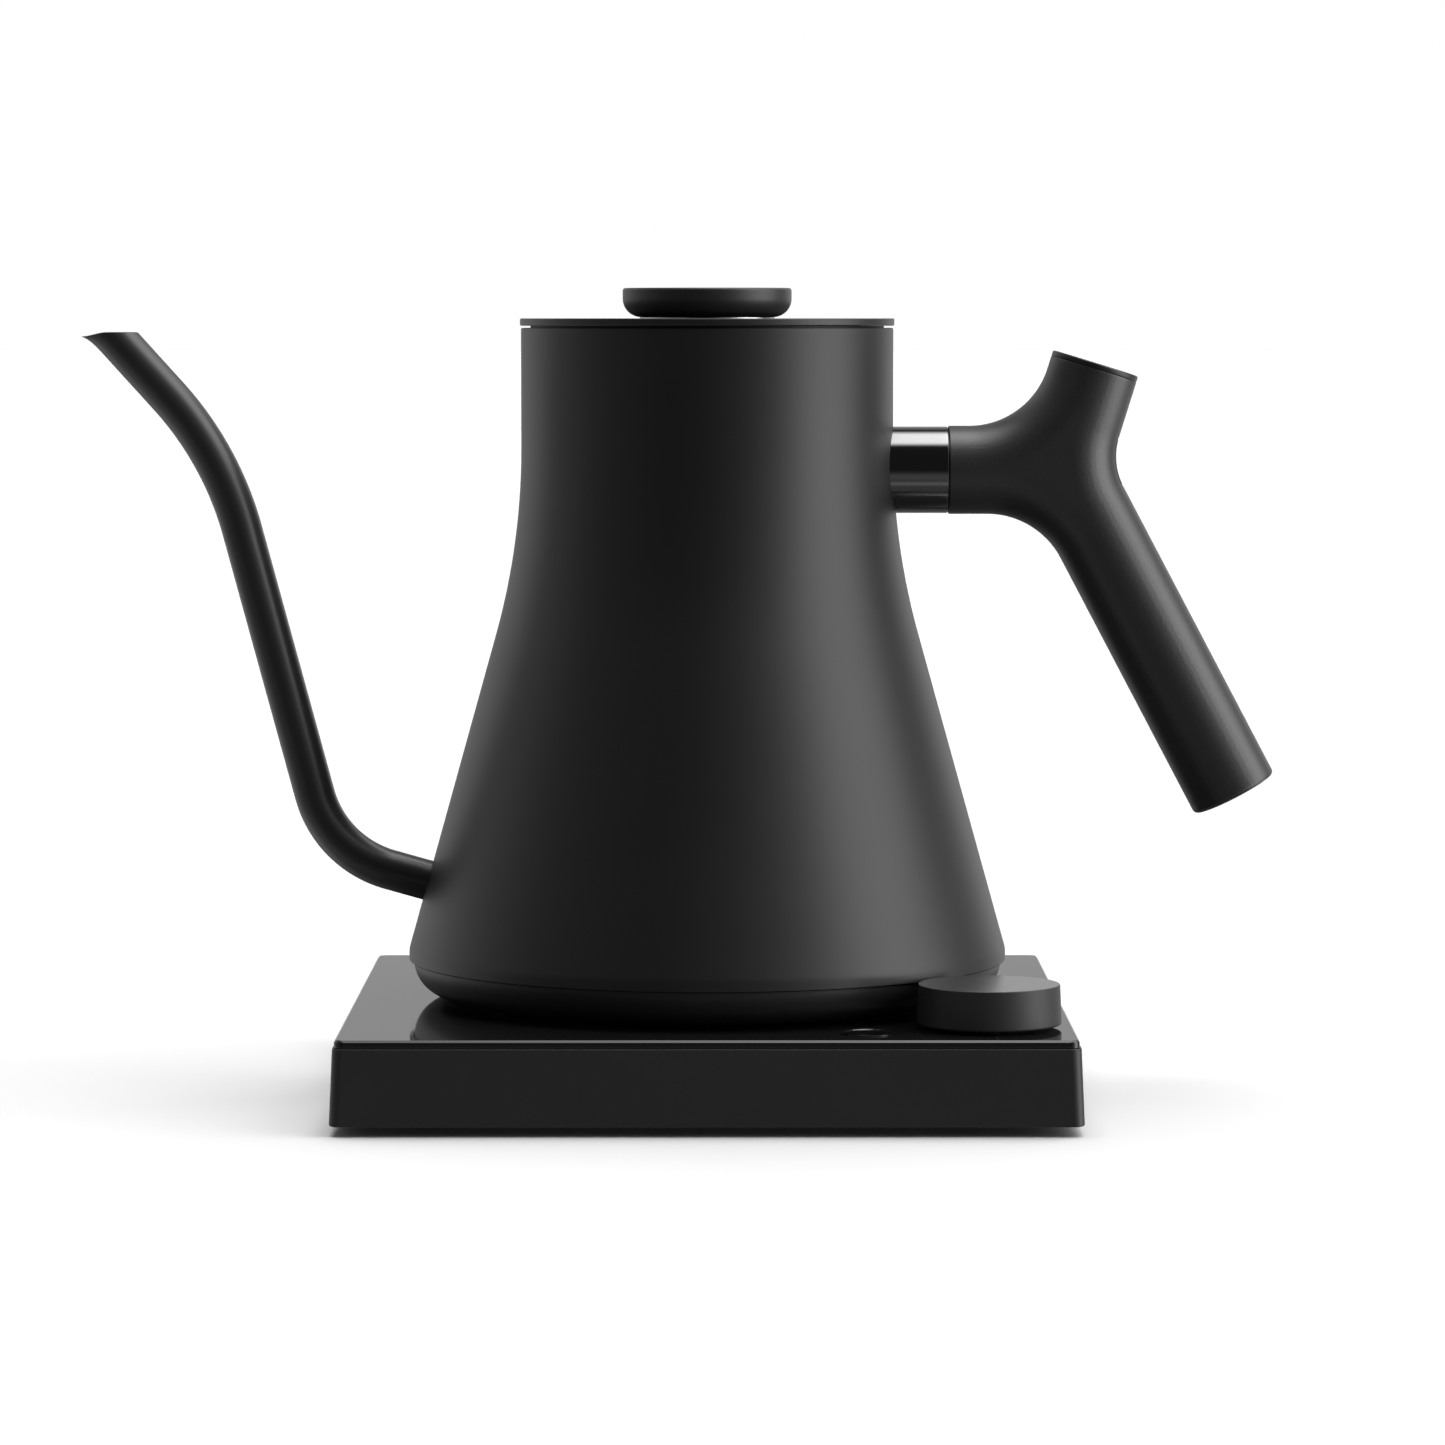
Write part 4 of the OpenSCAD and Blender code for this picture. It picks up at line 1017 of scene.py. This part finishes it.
def build_collar():
    """The polished collar, shaped to the kettle's wall at one end and rounded at the other."""
    sides = 160
    collar_r = 10.6
    bore_r = 9.6
    middle_x = 56.5
    end = 58.8
    sink = 0.1

    def saddle(r):
        ring = []
        for i in range(sides):
            a = 2 * math.pi * i / sides
            y = r * math.cos(a)
            z = arm_z + r * math.sin(a)
            ring.append(Vector((math.sqrt(wall_radius(z) ** 2 - y * y) - sink, y, z)))
        return ring

    def hoop(r, x):
        turn = 2 * math.pi / sides
        return [Vector((x, r * math.cos(turn * i), arm_z + r * math.sin(turn * i))) for i in range(sides)]

    rings = [saddle(collar_r), hoop(collar_r, middle_x), hoop(collar_r, end - 0.2)]
    rings += [hoop(collar_r - 0.04, end - 0.08), hoop(collar_r - 0.15, end), hoop(bore_r + 0.15, end)]
    rings += [hoop(bore_r, end - 0.15), hoop(bore_r, middle_x), saddle(bore_r)]
    add_piece("neck_collar", loft(rings, closed=True), "collar_gloss", "kettle", ["handle_collar"])


# ---- Lid ----


lid_hole_r = 2.2
lid_cup_r = neck_r - body_wall - 1.5
groove_r = lid_cup_r - 1.0
seal_z = lid_z - 6.6
seal_top = seal_z + 4.0


def build_lid_plate():
    """The flat lid, a little wider than the neck."""
    lid_r = 45.75
    corners = [(lid_hole_r, lid_z, 0), (lid_r, lid_z, 0.35), (lid_r, lid_top, 0.35), (lid_hole_r, lid_top, 0)]
    add_piece("lid_disc", lathe(soften(corners, 4), closed=True), "lid_coat", "lid", ["lid_plate"])


def build_washer():
    """The thin steel washer that lifts the knob off the lid."""
    r = 16.45
    corners = [(lid_hole_r, lid_top, 0), (r, lid_top, 0), (r, knob_z, 0.1), (lid_hole_r, knob_z, 0)]
    add_piece("knob_washer", lathe(soften(corners), closed=True), "bare_steel", "lid", ["lid_washer"])


def build_knob():
    """The low round knob, well rounded underneath, with a socket for its screw."""
    r = 20.65
    top = knob_z + 7.1
    socket_r = 2.05
    socket_top = knob_z + 5
    corners = [(socket_r, knob_z, 0), (r, knob_z, 4.5), (r, top, 0.7), (0, top, 0)]
    outline = soften(corners, 12) + [(0, socket_top), (socket_r, socket_top)]
    add_piece("lid_grip", lathe(outline, closed=True), "knob_plastic", "lid", ["lid_knob"])


def build_lid_cup():
    """The hollow cup under the lid, with a groove round it for the seal."""
    low = lid_z - 10.0
    floor_top = low + 1.4
    inner_r = lid_cup_r - 2.5
    post_r = 6.0
    corners = [(lid_hole_r, low, 0.2), (lid_cup_r, low, 1.4), (lid_cup_r, seal_z, 0), (groove_r, seal_z, 0)]
    corners += [(groove_r, seal_top, 0), (lid_cup_r, seal_top, 0), (lid_cup_r, lid_z, 0), (inner_r, lid_z, 0)]
    corners += [(inner_r, floor_top, 1.0), (post_r, floor_top, 0.6)]
    corners += [(post_r, lid_z, 0), (lid_hole_r, lid_z, 0)]
    shape = lathe(soften(corners), closed=True)
    add_piece("lid_liner", shape, "liner_plastic", "lid", ["lid_cup"], "cover_plastic")


def build_seal():
    """The soft seal, with two lips that hold the lid in the kettle's neck."""
    lip_r = neck_r - body_wall - 0.3
    back_r = groove_r + 0.05
    corners = [(back_r, seal_z, 0), (lid_cup_r, seal_z, 0.2), (lip_r, seal_z + 1.0, 0.25)]
    corners += [(lid_cup_r + 0.3, seal_z + 2.0, 0.2), (lip_r, seal_z + 3.0, 0.25)]
    corners += [(lid_cup_r, seal_top, 0.2), (back_r, seal_top, 0)]
    shape = lathe(soften(corners, 4), closed=True)
    add_piece("lid_seal", shape, "seal_silicone", "lid", ["lid_gasket"], "silicone")


# ---- Base ----

gland_z = 11.85
hub_hole_r = 18.6
button_hole_r = 6.6
foot_reach = 66
foot_spots = [(0, 0)] + [(x * foot_reach, y * foot_reach) for y in (1, -1) for x in (1, -1)]
base_screw_x = 70
base_screw_y = 30


def square_loft(rows, closed=False):
    """Level squares joined up, each (width, corner radius, height)."""
    return loft([square_ring(*row) for row in rows], closed)


def build_housing():
    """The base's moulded shell, with a soft edge top and bottom."""
    wide = base_w
    high = base_w - 2 * base_draft
    inner = base_w - 2 * base_wall
    low = housing_foot
    roof = housing_top - base_wall
    opening_w = 60
    sink_w = high - 8
    rows = [(inner, inner_corner_r, low), (wide - 0.8, corner_r - 0.4, low)]
    rows += [(wide - 0.25, corner_r - 0.12, low + 0.12), (wide, corner_r, low + 0.4)]
    for share in (0.5, 0.985):
        rows.append((wide + (high - wide) * share, corner_r, low + (housing_face - low) * share))
    rows += [(high - 0.08, corner_r - 0.04, housing_face - 0.07)]
    rows += [(high - 0.3, corner_r - 0.15, housing_face), (sink_w, 1.0, housing_face)]
    rows += [(opening_w, 1.0, housing_face), (opening_w, 1.0, roof)]
    rows += [(inner - 1.0, inner_corner_r, roof)]
    piece = make_piece("base_shell", square_loft(rows, closed=True))
    gland_way = placed(rod(5.0, 76, 92), along(Vector((0, 0, gland_z)), sideways))
    cut(piece, rod(4.4, 15, 24, at=dial_at), rod(button_hole_r, 15, 24, at=button_at), gland_way)
    finish_piece(piece, "housing_plastic", "base", ["base_housing"])


def build_glass():
    """The glass top, with a polished slanted edge and holes with slanted edges."""
    width = base_w - 2 * base_draft - 0.9
    r = corner_r - 0.2
    rows = [
        (width - 0.4, r - 0.2, housing_face + 0.02),
        (width - 0.1, r - 0.05, housing_face + 0.1),
        (width, r, housing_face + 0.3),
        (width, r, glass_face - 0.56),
        (width - 0.08, r - 0.04, glass_face - 0.49),
        (width - 0.96, r - 0.48, glass_face - 0.05),
        (width - 1.1, r - 0.55, glass_face),
    ]
    piece = make_piece("glass_top", square_loft(rows))
    low = 20
    high = 24

    def drill(hole_r, at):
        slant = [(hole_r, 22.15), (hole_r + 0.3, 22.45), (hole_r + 0.6, high)]
        return lathe([(0, low), (hole_r, low), *slant, (0, high)], 96, at=at)

    cut(piece, drill(hub_hole_r, (0, 0)), drill(4.0, dial_at), drill(button_hole_r, button_at))
    finish_piece(piece, "top_glass", "base", ["base_glass"])


def build_tray():
    """The tray under the base, with seats for its feet and wells for its screws."""
    tray_w = base_w - 21.2
    cover_w = base_w - 2 * base_wall - 2 * base_draft - 0.6
    pocket_w = tray_w - 2 * base_wall
    top = 4.9
    floor_top = 2.8
    rows = [
        (tray_w - 1.6, corner_r - 0.8, 0.95),
        (tray_w - 0.5, corner_r - 0.25, 1.1),
        (tray_w, corner_r, 1.5),
        (tray_w, corner_r, base_lift),
        (cover_w - 0.4, inner_corner_r, base_lift),
        (cover_w, inner_corner_r, base_lift + 0.2),
        (cover_w, inner_corner_r, top),
        (pocket_w, inner_corner_r, top),
        (pocket_w, inner_corner_r, floor_top),
    ]
    piece = make_piece("base_tray", square_loft(rows))
    seats = [rod(6.15, 0, 1.75, at=at) for at in foot_spots]
    head_r = 3.0
    shank_r = 1.5
    seat = 1.8
    well = [(0, 0), (head_r + 0.3, 0), (head_r, 0.9), (head_r, seat)]
    well += [(shank_r, seat), (shank_r, 3.3), (0, 3.3)]
    screws = [(x * base_screw_x, y * base_screw_y) for y in (1, -1) for x in (1, -1)]
    cut(piece, *seats, *[lathe(well, 40, at=at) for at in screws])
    # The tray gets the darker copy of the cover plastic, painted shade under the base
    finish_piece(piece, "tray_plastic_painted_shade", "base", ["base_bottom_cover"], "cover_plastic")


def build_feet():
    """Five rubber feet, with a groove round each."""
    foot_r = 6.0
    top = 1.7
    groove = 0.25
    outline = [(0, 0.12), (2.4, 0.12), (2.7, 0), (3.6, 0), (3.9, groove), (4.3, groove), (4.6, 0)]
    outline += [(5.3, 0), (foot_r - 0.25, 0.14), (foot_r, 0.5), (foot_r, top), (0, top)]
    side = 2 * foot_reach * MM
    values = {"Width": side, "Depth": side, "Middle": True, "Seed": 3}
    piece = grid_pattern.grow("feet", lathe(outline, 48), "foot_rubber", values)
    finish_piece(piece, "foot_rubber", "base", ["rubber_feet"])


def screw_shape(z, shank):
    """A flat-headed screw with a hexagon socket, its head down at z."""
    sides = 18
    head_r = 2.8
    head_top = z + 1.2
    socket_r = 1.1
    socket_z = z + 0.7
    shank_r = 1.25

    def hexagon(r, z):
        ring = []
        for i in range(sides):
            a = 2 * math.pi * i / sides
            off = (a + math.pi / 6) % (math.pi / 3) - math.pi / 6
            ring.append(Vector((math.cos(a), math.sin(a), 0)) * (r / math.cos(off)) + Vector((0, 0, z)))
        return ring

    rings = [hexagon(0.4, socket_z), hexagon(socket_r, socket_z), hexagon(socket_r + 0.05, z)]
    turned_rows = [(head_r - 0.3, z), (head_r, z + 0.25), (head_r, head_top), (shank_r, head_top)]
    turned_rows += [(shank_r, head_top + shank - 0.4), (shank_r - 0.45, head_top + shank)]
    rings += [circle(r, level, sides) for r, level in turned_rows]
    return loft(rings)


def build_base_screws():
    """Four screws up into the base, in the tray's wells."""
    sizes = {"Width": 2 * base_screw_x * MM, "Depth": 2 * base_screw_y * MM}
    values = {**sizes, "Middle": False, "Seed": 5}
    piece = grid_pattern.grow("base_fixings", screw_shape(0.6, 8.8), "screw_steel", values)
    finish_piece(piece, "screw_steel", "base", ["base_screws"], "bare_steel")


def build_cover_screws():
    """Three screws in the wells of the kettle's bottom cover."""
    place = {"Radius": cover_screw_reach * MM, "Start": math.radians(cover_screw_turns[0])}
    values = {"Count": len(cover_screw_turns), **place, "Seed": 7}
    piece = ring_pattern.grow("cover_fixings", screw_shape(24.5, 5.8), "screw_steel", values)
    finish_piece(piece, "screw_steel", "kettle", ["bottom_cover_screws"], "bare_steel")


def build_hub():
    """The raised socket in the middle of the base, with a way for the pin and one for the rings."""
    top = 31.0
    way_floor = 22.0
    pin_way_r = 3.1
    ring_way_in = 8.5
    ring_way_out = 10.5
    hub_r = 15.0
    shoulder_r = 18.5
    shoulder_top = 22.6
    flange_r = 22.0
    flange_top = 18.8
    flange_low = 16.6
    low = 10.0
    slant = 0.4
    outline = [(0, way_floor), (pin_way_r, way_floor), (pin_way_r, top - slant), (pin_way_r + slant, top)]
    outline += [(ring_way_in - slant, top), (ring_way_in, top - slant), (ring_way_in, way_floor)]
    outline += [(ring_way_out, way_floor), (ring_way_out, top - slant), (ring_way_out + slant, top)]
    outline += [(hub_r - 1.0, top), (hub_r - 0.55, top - 0.07), (hub_r - 0.2, top - 0.3), (hub_r, top - 0.7)]
    outline += [(hub_r, shoulder_top), (shoulder_r - 0.3, shoulder_top)]
    outline += [(shoulder_r - 0.08, shoulder_top - 0.1), (shoulder_r, shoulder_top - 0.3)]
    outline += [(shoulder_r, flange_top), (flange_r, flange_top), (flange_r, flange_low)]
    outline += [(shoulder_r, flange_low), (shoulder_r, low), (0, low)]
    add_piece("power_hub", lathe(outline, 128), "connector_plastic", "base", ["socket_housing"])


def build_turning_ring():
    """The ring round the hub, which turns with the kettle."""
    bore_r = 15.05
    ring_r = 17.9
    low = 22.7
    top = 26.2
    corners = [(bore_r, low, 0.2), (ring_r, low, 0.2), (ring_r, top, 0.5), (bore_r, top, 0.5)]
    shape = lathe(soften(corners, 4), 128, closed=True)
    add_piece("turning_ring", shape, "ring_plastic", "swivel", ["swivel_ring"])


def build_gland():
    """The bush at the back where a cord would come in."""
    bore_r = 3.6
    neck = 4.95
    flange_r = 6.0
    inner_y = 79.0
    wall_y = 81.3
    outer_y = 88.3
    corners = [(bore_r, inner_y, 0.2), (flange_r, inner_y, 0.3), (flange_r, wall_y, 0.3)]
    corners += [(neck, wall_y, 0), (neck, outer_y, 0.7), (bore_r, outer_y, 0.5)]
    shape = placed(lathe(soften(corners, 4), 96, closed=True), along(Vector((0, 0, gland_z)), sideways))
    add_piece("cord_bush", shape, "pad_rubber", "base", ["cord_gland"], "cover_plastic")


def build_dial():
    """The dial, a little narrower at its top, which is bare turned metal."""
    low = 23.35
    top = 32.8
    socket_r = 3.05
    socket_top = low + 6
    corners = [(socket_r, low, 0), (17.1, low, 0.5), (16.7, top, 0.3), (0, top, 0)]
    outline = soften(corners) + [(0, socket_top), (socket_r, socket_top)]
    shape = lathe(outline, closed=True, at=dial_at)
    piece = add_piece("dial", shape, "dial_coat", "dial", ["dial_knob"])
    piece.data.materials.append(looks["dial_face"])
    for face in piece.data.polygons:
        if face.center.z > (top - 0.06) * MM:
            face.material_index = 1


def build_button():
    """A round key with a dished top inside a narrow slanted rim that stands proud of the glass."""
    key_r = 6.3
    rim_top = 22.66
    dish_top = 22.42
    dish_depth = 0.15
    dish_r = 5.0
    stem_r = 2
    stem_low = 16.0
    stop_r = 7.4
    stop_low = 17.1
    stop_top = 18.3
    corners = [(0, stem_low, 0), (stem_r, stem_low, 0), (stem_r, stop_low, 0), (stop_r, stop_low, 0)]
    corners += [(stop_r, stop_top, 0), (key_r, stop_top, 0), (key_r, rim_top, 0.05)]
    corners += [(key_r - 0.12, rim_top, 0.1), (key_r - 0.4, dish_top, 0.1), (dish_r, dish_top, 0)]
    rings = [1 - i / 7 for i in range(1, 7)]
    dish = [(dish_r * ring, dish_top - dish_depth * (1 - ring**2)) for ring in rings]
    outline = soften(corners, 4) + dish + [(0, dish_top - dish_depth)]
    shape = lathe(outline, 128, at=button_at)
    add_piece("power_key", shape, "button_gloss", "button", ["power_button"])


# ---- Nodes that stay ----

kept_nodes = {
    "socket_contacts": "gold_contact",
    "connector_pins": "gold_contact",
    "control_board": "board_green",
    "power_board": "board_green",
    "display_panel": "display_face",
    "rotary_encoder": "cast_metal",
    "button_switch": "black_parts",
    "buzzer": "black_parts",
    "power_relay": "relay_blue",
    "supply_capacitor": "sleeve_blue",
    "heat_spreader": "cast_metal",
    "heating_element": "element_steel",
    "temperature_probe": "bare_steel",
    "probe_seal": "seal_silicone",
    "thermal_cutout": "ceramic",
    "handle_bracket": "bare_steel",
    "handle_screw": "screw_steel",
    "handle_counterweight": "dark_iron",
    "lid_screw": "screw_steel",
    "dial_shaft": "bare_steel",
}


def paint_kept_nodes():
    """Materials, softened edges and even shading for the nodes that stay as they are."""
    for node, look in kept_nodes.items():
        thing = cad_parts[node]
        for slot in thing.material_slots:
            slot.material = looks[look]
        weld = thing.modifiers.new("merge", "WELD")
        weld.merge_threshold = 2e-6
        bevel = thing.modifiers.new("soft edges", "BEVEL")
        bevel.width = 0.12 * MM
        bevel.segments = 2
        bevel.limit_method = "ANGLE"
        bevel.angle_limit = math.radians(40)
        bevel.harden_normals = True


grid_pattern = make_grid_pattern()
ring_pattern = make_ring_pattern()
build_kettle_wall()
build_bottom_cover()
build_connector()
build_floor()
build_cover_screws()
build_spout()
build_handle()
build_handle_cap()
build_thumb_pad()
build_collar()
build_lid_plate()
build_washer()
build_knob()
build_lid_cup()
build_seal()
build_housing()
build_glass()
build_tray()
build_feet()
build_base_screws()
build_hub()
build_turning_ring()
build_gland()
build_dial()
build_button()
paint_kept_nodes()


# ---- Camera, floor and lights ----


def place_camera():
    """A long lens at the side with the dial, a little above the lid and nearly level."""
    lens = 137.67
    place = (0.00167, -1.3545, 0.189)
    dip = math.radians(4.187)
    turn = math.radians(-0.088)
    data = bpy.data.cameras.new("camera")
    data.lens = lens
    data.sensor_width = 36.0
    camera = bpy.data.objects.new("camera", data)
    camera.location = place
    camera.rotation_euler = (math.pi / 2 - dip, 0, turn)
    bpy.context.scene.collection.objects.link(camera)
    bpy.context.scene.camera = camera


def lay_floor():
    """A matt floor that only the camera sees, under a wide soft light of its own."""
    mesh = bpy.data.meshes.new("floor")
    half = 30.0
    corners = [(sx * half, sy * half, 0) for sx, sy in ((-1, -1), (1, -1), (1, 1), (-1, 1))]
    mesh.from_pydata(corners, [], [(0, 1, 2, 3)])
    floor = bpy.data.objects.new("floor", mesh)
    bpy.context.scene.collection.objects.link(floor)
    paint = bpy.data.materials.new("floor")
    paint.use_nodes = True
    board = Board(paint.node_tree)
    matt = board.node("BsdfDiffuse", None, {"Color": tone(0.5)})
    board.node("OutputMaterial", None, {"Surface": matt})
    mesh.materials.append(paint)
    floor.visible_glossy = False
    floor.visible_diffuse = False
    floor.visible_transmission = False
    lit = bpy.data.collections.new("lit by the floor light")
    lit.objects.link(floor)
    sun = bpy.data.lights.new("floor light", "SUN")
    sun.energy = 3.15
    sun.angle = math.radians(60)
    lamp = bpy.data.objects.new("floor light", sun)
    lamp.rotation_euler = (math.radians(-20), 0, 0)
    bpy.context.scene.collection.objects.link(lamp)
    lamp.light_linking.receiver_collection = lit


# Each light card's strength, the azimuth and elevation of its middle, its width, height and soft edge
light_cards = [
    (3.6, 78, 20, 44, 90, 12),
    (0.45, 48, 20, 16, 80, 16),
    (0.55, -115, 0, 50, 110, 25),
    (0.48, 180, 10, 110, 60, 16),
    (0.6, 150, 6, 20, 30, 8),
    (0.25, 0, -36, 60, 8, 4),
    (0.12, 6, -15, 34, 16, 8),
    (0.15, -66, 10, 60, 100, 20),
    (0.16, 36, 10, 34, 100, 14),
    (0.40, -85, -38, 90, 20, 12),
    (3.2, 122, 52, 50, 26, 12),
    (2.0, 138, -28, 50, 14, 10),
]


def light_card(azimuth, elevation, middle, level, width, height, soft):
    """A soft-edged card on the studio's walls. Angles in degrees, 0 is the camera's side."""
    off = (azimuth - middle).math("ABSOLUTE")
    off = off.math("MINIMUM", 360 - off)
    across = off.math("SUBTRACT", width / 2).ramp(soft, -soft)
    up = (elevation - level).math("ABSOLUTE").math("SUBTRACT", height / 2).ramp(soft, -soft)
    return across * up


def paint_studio():
    """White to the camera; a dark room with light cards and a bright ceiling to everything else."""
    world = bpy.data.worlds.new("studio")
    bpy.context.scene.world = world
    world.use_nodes = True
    board = Board(world.node_tree)
    x, y, z = board.parts(board.node("TexCoord", output="Generated"))
    azimuth = x.math("ARCTAN2", 0 - y) * math.degrees(1)
    elevation = z.math("ARCSINE") * math.degrees(1)
    light = 0.03
    for strength, *card in light_cards:
        light = light + strength * light_card(azimuth, elevation, *card)
    light = light + 0.12 * elevation.ramp(-2, -30)
    ceiling = 2.4 + 3.0 * x.ramp(-0.12, 0.16)
    light = light + ceiling * (elevation + 14 * y).ramp(60, 78)
    room = board.node("Background", None, {"Color": tone(1.0), "Strength": light})
    white = board.node("Background", None, {"Color": tone(1.0), "Strength": 1.0})
    seen = board.node("LightPath", output="Is Camera Ray")
    shown = board.node("MixShader", None, {0: seen, 1: room, 2: white})
    board.node("OutputWorld", None, {"Surface": shown})


place_camera()
lay_floor()
paint_studio()
bpy.context.scene.view_settings.view_transform = "Standard"
